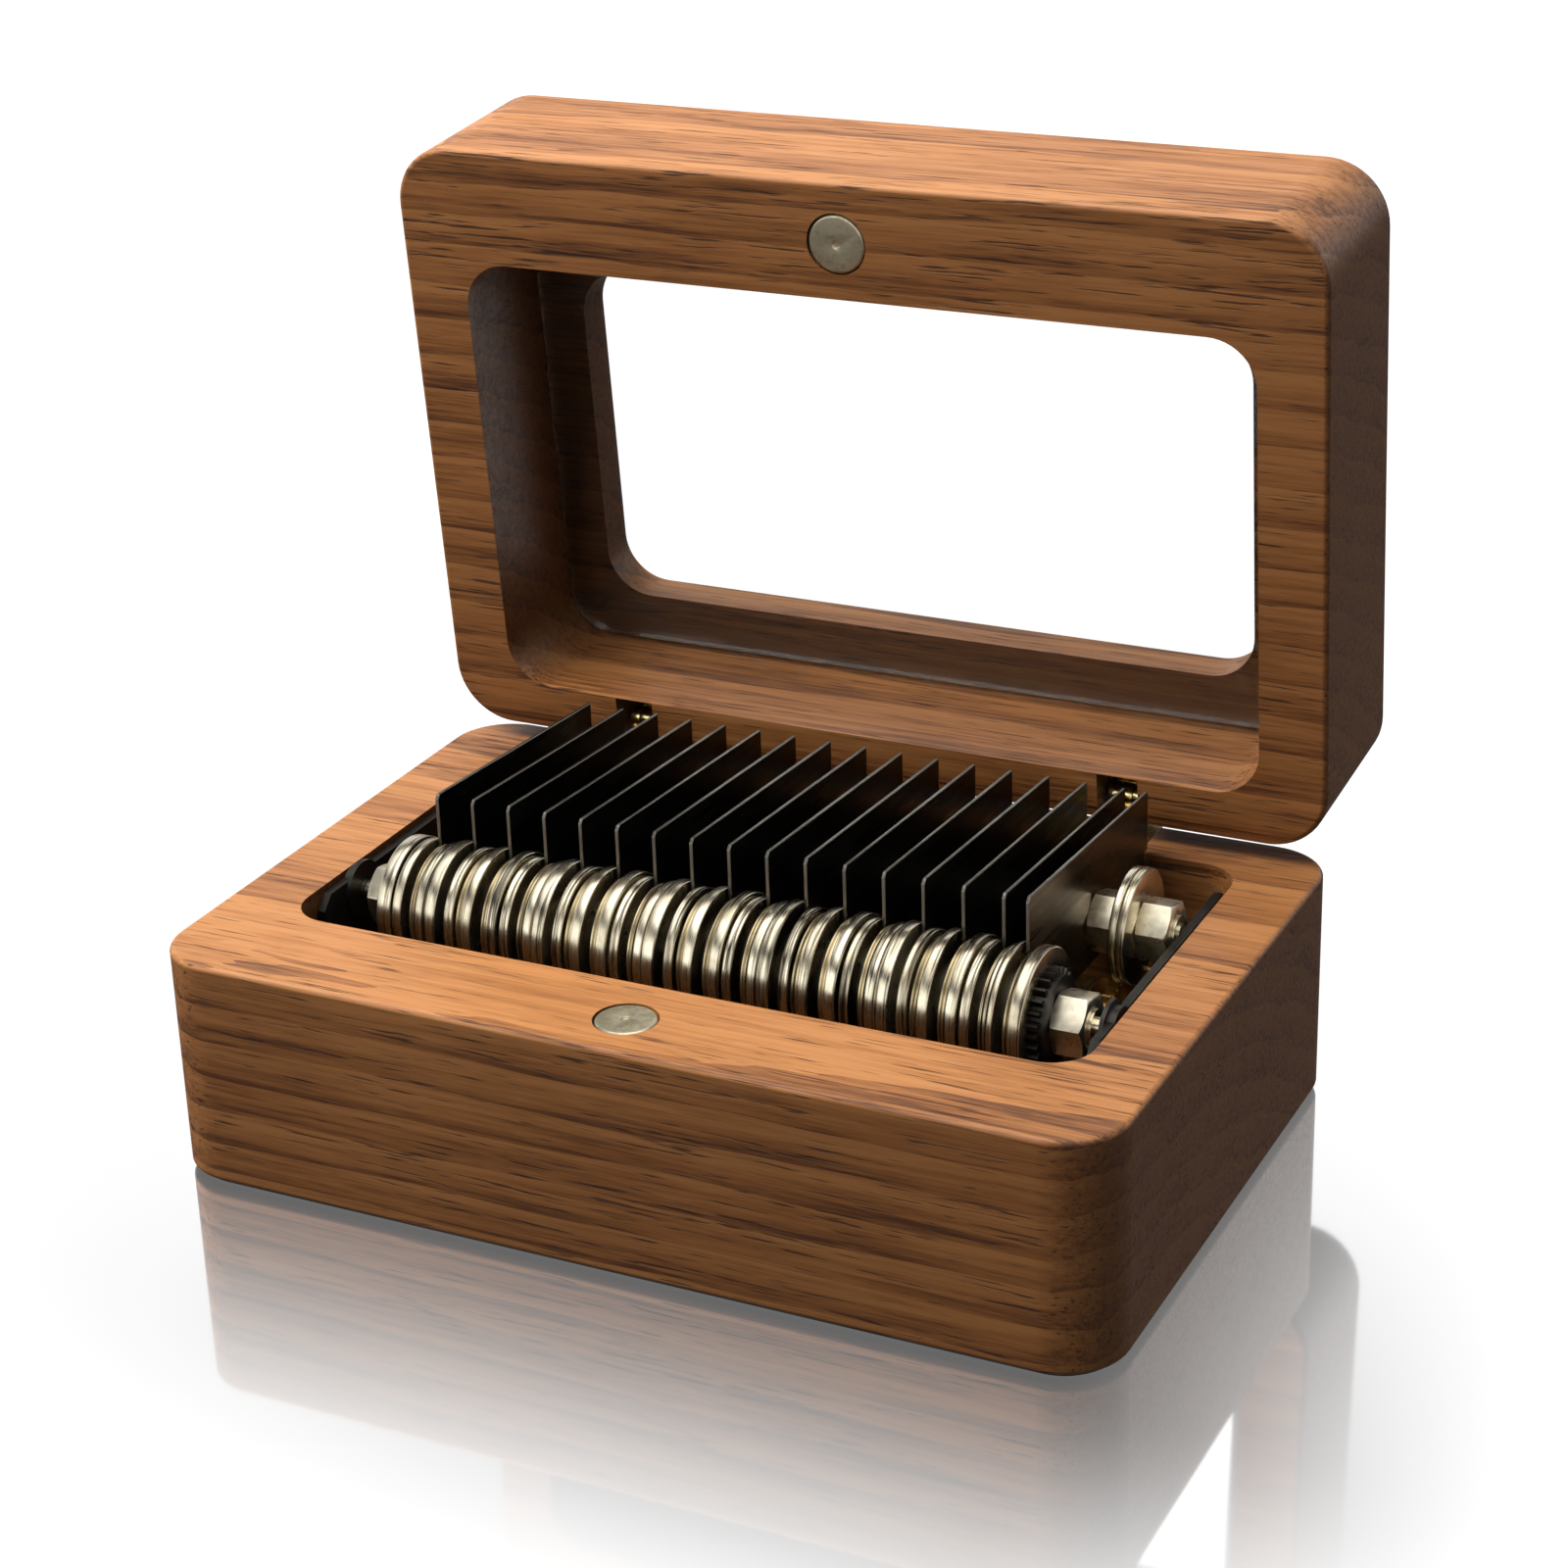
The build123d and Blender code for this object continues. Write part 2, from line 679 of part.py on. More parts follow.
for number in range(plate_count):
    hand_in(comb_plate(number), f"comb_plate_{number + 1:02d}")

with BuildPart() as comb_rod:
    rod(comb_left_nut_x - rod_end, outer_nut_x + nut_thickness + rod_end, *comb_axis, rod_radius)
    rod(left_cheek_x + sheet, right_cheek_x, *comb_axis, journal_radius)
hand_in(comb_rod, "comb_rod")

with BuildPart() as comb_spacers:
    for number in range(plate_count - 1):
        start = plate_x(number) + plate_thickness / 2
        end = plate_x(number + 1) - plate_thickness / 2
        ring(start, end, *comb_axis, spacer_radius, rod_radius)
hand_in(comb_spacers, "comb_spacers")

with BuildPart() as comb_washers:
    for number in range(2):
        start = comb_washer_x + number * (washer_thickness + washer_gap)
        ring(start, start + washer_thickness, *comb_axis, comb_washer_radius, rod_radius)
hand_in(comb_washers, "comb_washers")

with BuildPart() as comb_nuts:
    for start in (comb_left_nut_x, comb_right_nut_x, outer_nut_x):
        hex_nut(start, *comb_axis)
hand_in(comb_nuts, "comb_nuts")

# ---- disc stack: washers of three sizes and pinned drums clamped on a turning threaded rod ----
stack_start = plate_x(0) - gap_width / 2
stack_end = plate_x(plate_count - 1) + gap_width / 2
left_wide = 2.2
left_narrow = 1.4
left_nut_x = stack_start - left_narrow - slot_width - left_wide - nut_thickness
end_small = 1.0
flange_thickness = 0.6
flange_radius = 6.0
right_nut_x = gear_right + flange_thickness
ring_sizes = {"large": large_radius, "medium": medium_radius, "small": small_radius}
recipes = (
    (("small", 0.20), ("medium", 0.32), ("large", 0.48)),
    (("medium", 0.36), ("small", 0.26), ("large", 0.38)),
    (("small", 0.24), ("large", 0.40), ("medium", 0.36)),
)


def stack_layout():
    """Rings and thin slot washers from left to right, as (kind, start, end, radius)."""
    narrow_start = stack_start - left_narrow
    wide_end = narrow_start - slot_width
    layout = [
        ("left", narrow_start, stack_start, medium_radius),
        ("left", wide_end - left_wide, wide_end, left_washer_radius),
        ("slot", wide_end, narrow_start, slot_radius),
    ]
    for number in range(plate_count - 1):
        start = plate_x(number) + gap_width / 2
        end = plate_x(number + 1) - gap_width / 2
        recipe = recipes[number % len(recipes)]
        metal = end - start - slot_width * (len(recipe) - 1)
        for place, (kind, share) in enumerate(recipe):
            layout.append((kind, start, start + metal * share, ring_sizes[kind]))
            start += metal * share
            if place < len(recipe) - 1:
                layout.append(("slot", start, start + slot_width, slot_radius))
                start += slot_width
    layout.append(("small", stack_end, stack_end + end_small, small_radius))
    layout.append(("large", stack_end + end_small, gear_left, large_radius))
    return layout


def stack_rings(kind):
    """All rings of one kind as separate solids of one node."""
    with BuildPart() as piece:
        for name, start, end, radius in stack_layout():
            if name == kind:
                ring(start, end, *stack_axis, radius, rod_radius)
    return piece


hand_in(stack_rings("large"), "stack_rings_large")
hand_in(stack_rings("medium"), "stack_rings_medium")
hand_in(stack_rings("small"), "stack_rings_small")
hand_in(stack_rings("slot"), "stack_slot_washers")
hand_in(stack_rings("left"), "stack_end_washers")

with BuildPart() as pin_drums:
    for number in range(plate_count):
        middle = plate_x(number)
        ring(middle - gap_width / 2, middle + gap_width / 2, *stack_axis, drum_radius, rod_radius)
        for pin in range(pins_per_drum):
            angle = radians(pin_start + pin_stagger * number + 360 * pin / pins_per_drum)
            outwards = (0, cos(angle), sin(angle))
            foot = (middle, stack_y + pin_foot * cos(angle), stack_z + pin_foot * sin(angle))
            with Locations(Plane(origin=foot, z_dir=outwards)):
                Cylinder(pin_radius, pin_tip_radius - pin_foot, align=upwards)
hand_in(pin_drums, "pin_drums")

with BuildPart() as stack_rod:
    rod(left_nut_x - rod_end, right_nut_x + nut_thickness + rod_end, *stack_axis, rod_radius)
    rod(left_cheek_x, right_cheek_x + sheet, *stack_axis, journal_radius)
hand_in(stack_rod, "stack_rod")

with BuildPart() as stack_nuts:
    for start in (left_nut_x, right_nut_x):
        hex_nut(start, *stack_axis)
hand_in(stack_nuts, "stack_nuts")

with BuildPart() as stack_gear:
    toothed_disc(gear_left, gear_right, *stack_axis, stack_teeth, stack_gear_angle)
    ring(gear_right, gear_right + flange_thickness, *stack_axis, flange_radius, rod_radius)
    rod(gear_left, gear_right, *stack_axis, rod_radius)
    with BuildSketch(cross_plane(gear_left)):
        with Locations(stack_axis):
            Circle(rod_radius)
    extrude(amount=gear_right - gear_left, mode=Mode.SUBTRACT)
hand_in(stack_gear, "stack_gear")

# ---- train ----
stud_hole = stud_radius + running_clearance

with BuildPart() as idler_gear:
    toothed_disc(gear_left + axial_gap, gear_right, *idler_axis, idler_teeth, idler_angle)
    with BuildSketch(cross_plane(gear_left)):
        with Locations(idler_axis):
            Circle(stud_hole)
    extrude(amount=gear_right - gear_left, mode=Mode.SUBTRACT)
hand_in(idler_gear, "idler_gear")

with BuildPart() as second_wheel:
    toothed_disc(gear_left, gear_right, *second_axis, second_pinion_teeth, second_pinion_angle)
    rod(gear_right, second_wheel_left, *second_axis, second_hub_radius)
    toothed_disc(second_wheel_left, second_wheel_right, *second_axis, second_wheel_teeth, 0.0)
    with BuildSketch(cross_plane(gear_left)):
        with Locations(second_axis):
            Circle(stud_hole)
    extrude(amount=second_wheel_right - gear_left, mode=Mode.SUBTRACT)
hand_in(second_wheel, "second_wheel")

vane_start = second_wheel_right + vane_clearance
vane_end = right_cheek_x - vane_clearance
with BuildPart() as governor_fan:
    toothed_disc(second_wheel_left, second_wheel_right, *fan_axis, fan_pinion_teeth, fan_pinion_angle)
    rod(second_wheel_right, vane_end, *fan_axis, fan_hub_radius)
    with BuildSketch(cross_plane(vane_start)):
        with Locations(fan_axis):
            Rectangle(2 * vane_radius, vane_thickness)
    extrude(amount=vane_end - vane_start)
    with BuildSketch(cross_plane(second_wheel_left)):
        with Locations(fan_axis):
            Circle(stud_hole)
    extrude(amount=vane_end - second_wheel_left, mode=Mode.SUBTRACT)
hand_in(governor_fan, "governor_fan")

# ---- spring motor ----
arbor_hole = arbor_radius + running_clearance

with BuildPart() as barrel_drum:
    ring(barrel_left, barrel_right, *barrel_axis, barrel_radius, barrel_radius - barrel_wall)
    ring(barrel_right - barrel_end_wall, barrel_right, *barrel_axis, barrel_radius, arbor_hole)
    ring(barrel_right, gear_left, *barrel_axis, barrel_hub_radius, arbor_hole)
    toothed_disc(gear_left, gear_right, *barrel_axis, great_teeth, great_angle)
    with BuildSketch(cross_plane(gear_left)):
        with Locations(barrel_axis):
            Circle(arbor_hole)
    extrude(amount=gear_right - gear_left, mode=Mode.SUBTRACT)
hand_in(barrel_drum, "barrel_drum")

with BuildPart() as barrel_cover:
    rim_start = barrel_left - barrel_cover_thickness
    plug_end = barrel_left + barrel_cover_thickness
    ring(barrel_left, plug_end, *barrel_axis, barrel_radius - barrel_wall, arbor_hole)
    ring(rim_start, barrel_left, *barrel_axis, barrel_radius, arbor_hole)
hand_in(barrel_cover, "barrel_cover")


def spring_points(offset, reverse):
    """Points along one side of the coiled strip, offset outwards from its inner side."""
    inner = spring_inner_radius
    outer = barrel_radius - barrel_wall - spring_margin - spring_strip
    steps = int(24 * spring_turns)
    points = []
    for step in range(steps + 1):
        share = step / steps
        reach = inner + (outer - inner) * share + offset
        angle = 2 * pi * spring_turns * share
        points.append((barrel_y + reach * cos(angle), barrel_z + reach * sin(angle)))
    return points[::-1] if reverse else points


with BuildPart() as mainspring:
    with BuildSketch(cross_plane(barrel_left + spring_end_gap)):
        with BuildLine():
            inner_side = Spline(*spring_points(0, False))
            outer_side = Spline(*spring_points(spring_strip, True))
            Line(inner_side @ 1, outer_side @ 0)
            Line(outer_side @ 1, inner_side @ 0)
        make_face()
    extrude(amount=barrel_right - barrel_end_wall - barrel_left - 1.5 * spring_end_gap)
hand_in(mainspring, "mainspring")

key_end_x = -case_half - key_start
collar_start = left_cheek_x + sheet + axial_gap
with BuildPart() as winding_arbor:
    rod(key_end_x - key_hub_length + 1, right_cheek_x + sheet, *barrel_axis, arbor_radius)
    ring(collar_start, collar_start + collar_length, *barrel_axis, clutch_collar_radius, arbor_radius)
hand_in(winding_arbor, "winding_arbor")

clutch_start = collar_start + clutch_wire
with BuildPart() as clutch_spring:
    with BuildLine() as coil:
        Helix(
            pitch=clutch_pitch,
            height=clutch_length,
            radius=clutch_collar_radius + running_clearance + clutch_wire,
            center=(clutch_start, barrel_y, barrel_z),
            direction=(1, 0, 0),
        )
    with BuildSketch(Plane(origin=coil.line @ 0, z_dir=coil.line % 0)):
        Circle(clutch_wire)
    sweep(path=coil.line)
hand_in(clutch_spring, "clutch_spring")

with BuildPart() as key_escutcheon:
    plate_face = -case_half - escutcheon_thickness
    arbor_way = arbor_radius + escutcheon_gap
    ring(plate_face, -case_half, *barrel_axis, escutcheon_radius, arbor_way)
    ring(-case_half, -case_half + escutcheon_neck, *barrel_axis, wall_hole_radius, arbor_way)
hand_in(key_escutcheon, "key_escutcheon")

with BuildPart() as winding_key:
    hub_start = key_end_x - key_hub_length
    wing_x = key_end_x - key_hub_length / 2 - 1
    ring(hub_start, key_end_x, *barrel_axis, key_hub_radius, arbor_radius)
    ring(hub_start - key_cap, hub_start, *barrel_axis, key_hub_radius, key_cap_hole)
    with BuildSketch(Plane.XY.offset(barrel_z - key_thickness / 2)):
        for way in (-1, 1):
            with Locations((wing_x, barrel_y + way * key_wing_centre)):
                Ellipse(key_wing_length / 2, key_wing_span / 2)
                Circle(key_eye_radius, mode=Mode.SUBTRACT)
    extrude(amount=key_thickness)
    with BuildSketch(cross_plane(hub_start + 1)):
        with Locations(barrel_axis):
            Circle(arbor_radius)
    extrude(amount=key_hub_length - 1, mode=Mode.SUBTRACT)
hand_in(winding_key, "winding_key")
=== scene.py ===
"""Wind-up music box: the finishes, turned parts, floor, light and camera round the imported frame.

Metres, in the frame's own axes: X to the right, Y to the rear, Z up. Each piece or group of like
pieces has an operator of its own, and the panel in the 3D view's sidebar lists them.
"""

import math

import bmesh
import bpy
from bpy.props import FloatProperty, FloatVectorProperty, IntProperty, PointerProperty
from mathutils import Matrix, Vector


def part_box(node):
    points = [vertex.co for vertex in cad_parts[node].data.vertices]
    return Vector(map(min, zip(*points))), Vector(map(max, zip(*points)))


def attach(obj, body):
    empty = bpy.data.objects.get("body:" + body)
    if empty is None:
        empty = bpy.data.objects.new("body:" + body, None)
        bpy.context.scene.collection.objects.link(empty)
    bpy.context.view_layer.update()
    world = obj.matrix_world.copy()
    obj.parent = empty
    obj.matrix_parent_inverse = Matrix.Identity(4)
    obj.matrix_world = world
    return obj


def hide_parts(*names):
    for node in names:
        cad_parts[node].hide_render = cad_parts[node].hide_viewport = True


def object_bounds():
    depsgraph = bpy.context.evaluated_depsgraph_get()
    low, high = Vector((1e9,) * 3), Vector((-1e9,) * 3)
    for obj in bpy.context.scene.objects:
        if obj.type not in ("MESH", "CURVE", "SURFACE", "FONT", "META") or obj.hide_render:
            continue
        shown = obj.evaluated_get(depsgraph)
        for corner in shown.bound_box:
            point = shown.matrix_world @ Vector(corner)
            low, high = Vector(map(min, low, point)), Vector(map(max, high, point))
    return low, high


bl_info = {
    "name": "Wind-up music box",
    "version": (1, 0, 0),
    "blender": (4, 5, 0),
    "location": "View3D > Sidebar > Music box",
    "description": "Dresses the music box's frame in walnut, steel, brass and glass",
    "category": "Object",
}

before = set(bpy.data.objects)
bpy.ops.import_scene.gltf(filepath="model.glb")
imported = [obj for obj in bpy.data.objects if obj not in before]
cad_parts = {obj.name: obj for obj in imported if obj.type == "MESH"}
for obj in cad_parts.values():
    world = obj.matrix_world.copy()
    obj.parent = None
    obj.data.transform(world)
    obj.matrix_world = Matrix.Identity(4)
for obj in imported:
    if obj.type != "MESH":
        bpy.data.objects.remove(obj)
cad_box = [list(corner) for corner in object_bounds()]

# angles between faces: shaded smooth below, rounded above, and flat enough to be one face
SMOOTH_ANGLE = math.radians(32)
ROUNDED_ANGLE = math.radians(28)
FLAT_ANGLE = math.radians(0.6)
MERGE_DISTANCE = 1e-6

# relief of the finishes
GRAIN_RELIEF = 0.00012
NAP_RELIEF = 0.0002
TOOL_RELIEF = 0.00004
SCRATCH_RELIEF = 0.00003

# rounding of the sharp edges
SHEET_EDGE = 0.00009
MACHINED_EDGE = 0.00012
PLATE_EDGE = 0.00015
LEAF_EDGE = 0.0002
PIN_EDGE = 0.0003
KEY_EDGE = 0.00035

# a medium ring wider than this has a groove, and its rim is cut in so many stretches for it
WIDE_RING = 0.0014
GROOVE_STRETCHES = 6

# the wave texture goes through this many radians in a metre when its scale is 1
WAVE_RADIANS = 20

# surround: what is seen past the object, what polished metal mirrors, and what lights matt surfaces
SEEN_WHITE = 1.12
BELOW_HORIZON = 0.12
OVERHEAD_PANEL = 2.4
SCATTERED_LIGHT = 0.024

# floor: mirror by the case, white further out
MIRROR_START = -0.012
MIRROR_END = 0.086
FLOOR_GLOW = 1.15

# lights, and the camera: its place, its turn about Z, its height angle and its roll
KEY_PLACE = (-0.30, -0.07, 0.62)
KEY_TARGET = (0, 0, 0.04)
FILL_PLACE = (-0.45, -0.95, 0.42)
FILL_TARGET = (0, 0, 0.06)
FILL_SIZE = 0.6
EYE = Vector((0.198428, -0.385103, 0.241061))
EYE_AROUND = 0.464437
EYE_ABOVE = 0.411020
EYE_LEAN = -0.033370


# ---- settings ----
def colour(name, description, default):
    """A colour setting shown as a swatch."""
    return FloatVectorProperty(
        name=name, description=description, default=default, size=3, min=0, max=1, subtype="COLOR"
    )


class MusicBoxWood(bpy.types.PropertyGroup):
    """The oiled walnut of the case."""

    light: colour("Light wood", "Colour of the pale fibres", (0.335, 0.142, 0.046))
    middle: colour("Middle wood", "Colour of most of the wood", (0.215, 0.082, 0.024))
    dark: colour("Dark wood", "Colour of the dark growth lines", (0.070, 0.024, 0.008))
    pore: colour("Pore", "Colour inside the open pores", (0.020, 0.007, 0.003))
    fibre_width: FloatProperty(
        name="Fibre width",
        description="Width of one streak of fibres",
        default=0.0009,
        unit="LENGTH",
    )
    ring_gap: FloatProperty(
        name="Growth ring gap",
        description="Distance between growth rings",
        default=0.0052,
        unit="LENGTH",
    )
    sheen_roughness: FloatProperty(
        name="Oil roughness", description="Roughness of the oiled surface", default=0.43, min=0, max=1
    )


class MusicBoxMetal(bpy.types.PropertyGroup):
    """Steel, nickel and brass of the movement and the fittings."""

    steel: colour("Bright steel", "Colour of the bright turned rings", (0.74, 0.67, 0.51))
    warm: colour("Warm steel", "Colour of the yellowed rings", (0.56, 0.46, 0.28))
    # also put on the slot washers and the gear so the gaps and the stack's end read black: painted
    # shade
    dark: colour("Dark steel", "Colour of the slots and drums", (0.050, 0.046, 0.040))
    nickel: colour("Nickel", "Colour of the magnets", (0.62, 0.55, 0.385))
    brass: colour("Brass", "Colour of the hinges", (0.90, 0.72, 0.34))
    plate: colour("Blackened steel", "Colour of the comb plates", (0.035, 0.033, 0.029))
    rim_rounding: FloatProperty(
        name="Rim rounding", description="Rounding of the rings' rims", default=0.00022, unit="LENGTH"
    )
    groove_depth: FloatProperty(
        name="Groove depth", description="Depth of the turned grooves", default=0.00013, unit="LENGTH"
    )
    rim_steps: IntProperty(name="Rim steps", description="Facets round a ring", default=112, min=12)


class MusicBoxStudio(bpy.types.PropertyGroup):
    """Floor, light and camera."""

    floor_size: FloatProperty(
        name="Floor size", description="Side of the floor", default=9.0, unit="LENGTH"
    )
    key_power: FloatProperty(
        name="Key light", description="Power of the overhead softbox", default=13.0, unit="POWER"
    )
    key_size: FloatProperty(
        name="Key size", description="Side of the overhead softbox", default=0.62, unit="LENGTH"
    )
    fill_power: FloatProperty(
        name="Front fill", description="Power of the front softbox", default=1.1, unit="POWER"
    )
    lens: FloatProperty(name="Lens", description="Focal length in mm", default=79.32, min=1)


class MusicBoxSettings(bpy.types.PropertyGroup):
    """All the music box's settings."""

    wood: PointerProperty(type=MusicBoxWood)
    metal: PointerProperty(type=MusicBoxMetal)
    studio: PointerProperty(type=MusicBoxStudio)


# ---- node helpers ----
def feed(tree, socket, value):
    """Link a socket to an output, or set its value."""
    if isinstance(value, bpy.types.NodeSocket):
        tree.links.new(value, socket)
    else:
        socket.default_value = value


def add(tree, kind, settings=None, inputs=None):
    """A shader node with its settings, and its inputs by name or number."""
    made = tree.nodes.new("ShaderNode" + kind)
    for key, value in (settings or {}).items():
        setattr(made, key, value)
    for key, value in (inputs or {}).items():
        feed(tree, made.inputs[key], value)
    return made


def start_material(name):
    """A new material's tree and its Principled shader."""
    material = bpy.data.materials.new(name)
    material.use_nodes = True
    return material, material.node_tree, material.node_tree.nodes["Principled BSDF"]


def opaque(rgb):
    """A colour with full alpha."""
    return (*rgb, 1.0)


def math_node(tree, operation, a, b=0.0, clamp=False):
    """One arithmetic step, whose result may be held between 0 and 1."""
    return add(tree, "Math", {"operation": operation, "use_clamp": clamp}, {0: a, 1: b}).outputs[0]


def noise(tree, place, scale, detail, roughness, offset=(0, 0, 0)):
    """Noise whose scale is three numbers: features per metre along X, Y and Z."""
    spot = add(tree, "Mapping", None, {"Vector": place, "Location": offset, "Scale": scale}).outputs[0]
    return add(
        tree, "TexNoise", None, {"Vector": spot, "Scale": 1.0, "Detail": detail, "Roughness": roughness}
    ).outputs["Fac"]


def between(tree, value, low, high, to_low=0.0, to_high=1.0):
    """A value's range spread over another, with soft ends."""
    return add(
        tree,
        "MapRange",
        {"interpolation_type": "SMOOTHSTEP"},
        {0: value, 1: low, 2: high, 3: to_low, 4: to_high},
    ).outputs[0]


def weighted(tree, first, *rest):
    """The sum of values, each given with its weight."""
    total = math_node(tree, "MULTIPLY", *first)
    for value, weight in rest:
        total = math_node(tree, "ADD", total, math_node(tree, "MULTIPLY", value, weight))
    return total


def mix_colour(tree, share, a, b):
    """Two colours mixed by a share from 0 to 1."""
    made = tree.nodes.new("ShaderNodeMix")
    made.data_type = "RGBA"
    feed(tree, made.inputs[0], share)
    feed(tree, made.inputs[6], a)
    feed(tree, made.inputs[7], b)
    return made.outputs[2]


def bump(tree, height, strength, distance):
    """A normal that follows a height pattern."""
    return add(
        tree, "Bump", None, {"Height": height, "Strength": strength, "Distance": distance}
    ).outputs[0]


# ---- finishes ----
def walnut_finish(name, wood, cut):
    """Oiled walnut with its grain along X; cut moves the pattern so that two boards differ."""
    material, tree, shader = start_material(name)
    coords = add(tree, "TexCoord")
    place = add(
        tree, "Mapping", None, {"Vector": coords.outputs["Object"], "Location": cut}
    ).outputs[0]
    across = 1.0 / wood.fibre_width
    drift = noise(tree, place, (9, 30, 30), 2.0, 0.5)
    long_place = add(tree, "Mapping", None, {"Vector": place, "Scale": (0.10, 1, 1)}).outputs[0]
    growth = add(
        tree,
        "TexWave",
        {"wave_type": "RINGS", "rings_direction": "X", "wave_profile": "SAW"},
        {
            "Vector": long_place,
            "Scale": 2 * math.pi / WAVE_RADIANS / wood.ring_gap,
            "Distortion": 3.2,
            "Detail": 3.0,
            "Detail Scale": 1.6,
            "Detail Roughness": 0.6,
        },
    ).outputs["Fac"]
    fibres = noise(tree, place, (34, across, across), 5.0, 0.62)
    fine = noise(tree, place, (150, 4.2 * across, 4.2 * across), 3.0, 0.6, (3, 1, 2))
    blotch = noise(tree, place, (26, 120, 120), 3.0, 0.5, (1, 5, 3))
    streak = weighted(
        tree, (growth, 0.20), (fibres, 0.66), (fine, 0.34), (blotch, 0.30), (drift, 0.20)
    )
    ramp = add(tree, "ValToRGB", None, {"Fac": streak})
    stops = ramp.color_ramp.elements
    stops[0].position = 0.66
    stops[0].color = opaque(wood.dark)
    stops[1].position = 1.00
    stops[1].color = opaque(wood.light)
    stops.new(0.80).color = opaque(wood.middle)
    pore_noise = noise(tree, place, (95, 2.3 * across, 2.3 * across), 2.0, 0.55, (7, 2, 9))
    cluster = noise(tree, place, (18, 190, 190), 2.0, 0.5, (4, 4, 1))
    pores = between(
        tree, math_node(tree, "ADD", pore_noise, math_node(tree, "MULTIPLY", cluster, 0.32)), 0.76, 0.86
    )
    surface = mix_colour(
        tree, math_node(tree, "MULTIPLY", pores, 0.85), ramp.outputs[0], opaque(wood.pore)
    )
    facing = add(tree, "SeparateXYZ", None, {0: coords.outputs["Normal"]}).outputs[0]
    end_grain = between(tree, math_node(tree, "ABSOLUTE", facing), 0.55, 1.0, 0.0, 0.42)
    surface = mix_colour(tree, end_grain, surface, opaque(wood.dark))
    feed(tree, shader.inputs["Base Color"], surface)
    oiled = between(tree, fibres, 0.3, 0.7, wood.sheen_roughness + 0.08, wood.sheen_roughness - 0.05)
    rough = math_node(tree, "ADD", math_node(tree, "MULTIPLY", pores, 0.25), oiled)
    feed(tree, shader.inputs["Roughness"], rough)
    relief = math_node(tree, "SUBTRACT", math_node(tree, "MULTIPLY", fibres, 0.5), pores)
    relief = math_node(tree, "ADD", relief, math_node(tree, "MULTIPLY", fine, 0.25))
    feed(tree, shader.inputs["Normal"], bump(tree, relief, 0.35, GRAIN_RELIEF))
    shader.inputs["IOR"].default_value = 1.46
    return material


def turned_finish(
    name, tint, stain, roughness, lines=(5200, 60, 60), stain_share=0.5, shade_line_share=0.0
):
    """Machined metal: tool lines across the direction that lines is largest in, stains, and painted
    shade in dark bands and thin dark stripes.
    """
    material, tree, shader = start_material(name)
    place = add(tree, "TexCoord").outputs["Object"]
    tool = noise(tree, place, lines, 3.0, 0.6)
    patch = noise(tree, place, (210, 210, 210), 4.0, 0.6, (3, 7, 2))
    # dark bands across the tool lines, mixed in with the stains: painted shade for the dark lines
    # between rings
    band = noise(tree, place, (lines[0] * 0.12, lines[1] * 0.2, lines[2] * 0.2), 2.0, 0.5, (8, 1, 4))
    share = math_node(tree, "MULTIPLY", between(tree, patch, 0.42, 0.72), stain_share)
    share = math_node(
        tree, "ADD", share, math_node(tree, "MULTIPLY", between(tree, band, 0.45, 0.70), 0.28), True
    )
    skin = mix_colour(tree, share, opaque(tint), opaque(stain))
    dull = tuple(0.55 * part for part in tint)
    skin = mix_colour(tree, between(tree, tool, 0.55, 0.80, 0.0, 0.55), skin, opaque(dull))
    # thin dark stripes round the rings: painted shade for the dark lines between them
    if shade_line_share:
        shade_lines = noise(tree, place, (1500, 45, 45), 3.0, 0.65, (6, 2, 5))
        skin = mix_colour(
            tree, between(tree, shade_lines, 0.50, 0.62, 0.0, shade_line_share), skin, (0.030, 0.022, 0.012, 1)
        )
    feed(tree, shader.inputs["Base Color"], skin)
    shader.inputs["Metallic"].default_value = 1.0
    worn = between(tree, tool, 0.3, 0.7, roughness - 0.05, roughness + 0.09)
    rough = math_node(tree, "ADD", worn, math_node(tree, "MULTIPLY", share, 0.12))
    feed(tree, shader.inputs["Roughness"], rough)
    feed(tree, shader.inputs["Normal"], bump(tree, tool, 0.12, TOOL_RELIEF))
    return material


def polished_finish(name, tint, stain, roughness):
    """Polished metal with a soft mottle and a few hair scratches."""
    material, tree, shader = start_material(name)
    place = add(tree, "TexCoord").outputs["Object"]
    mottle = noise(tree, place, (900, 900, 900), 4.0, 0.6)
    scratch = noise(tree, place, (260, 5200, 5200), 2.0, 0.5, (5, 5, 5))
    skin = mix_colour(tree, between(tree, mottle, 0.40, 0.72, 0.0, 0.85), opaque(tint), opaque(stain))
    feed(tree, shader.inputs["Base Color"], skin)
    shader.inputs["Metallic"].default_value = 1.0
    worn = between(tree, mottle, 0.3, 0.7, roughness, roughness + 0.12)
    rough = math_node(tree, "ADD", worn, between(tree, scratch, 0.62, 0.70, 0.0, 0.12))
    feed(tree, shader.inputs["Roughness"], rough)
    feed(tree, shader.inputs["Normal"], bump(tree, scratch, 0.06, SCRATCH_RELIEF))
    return material


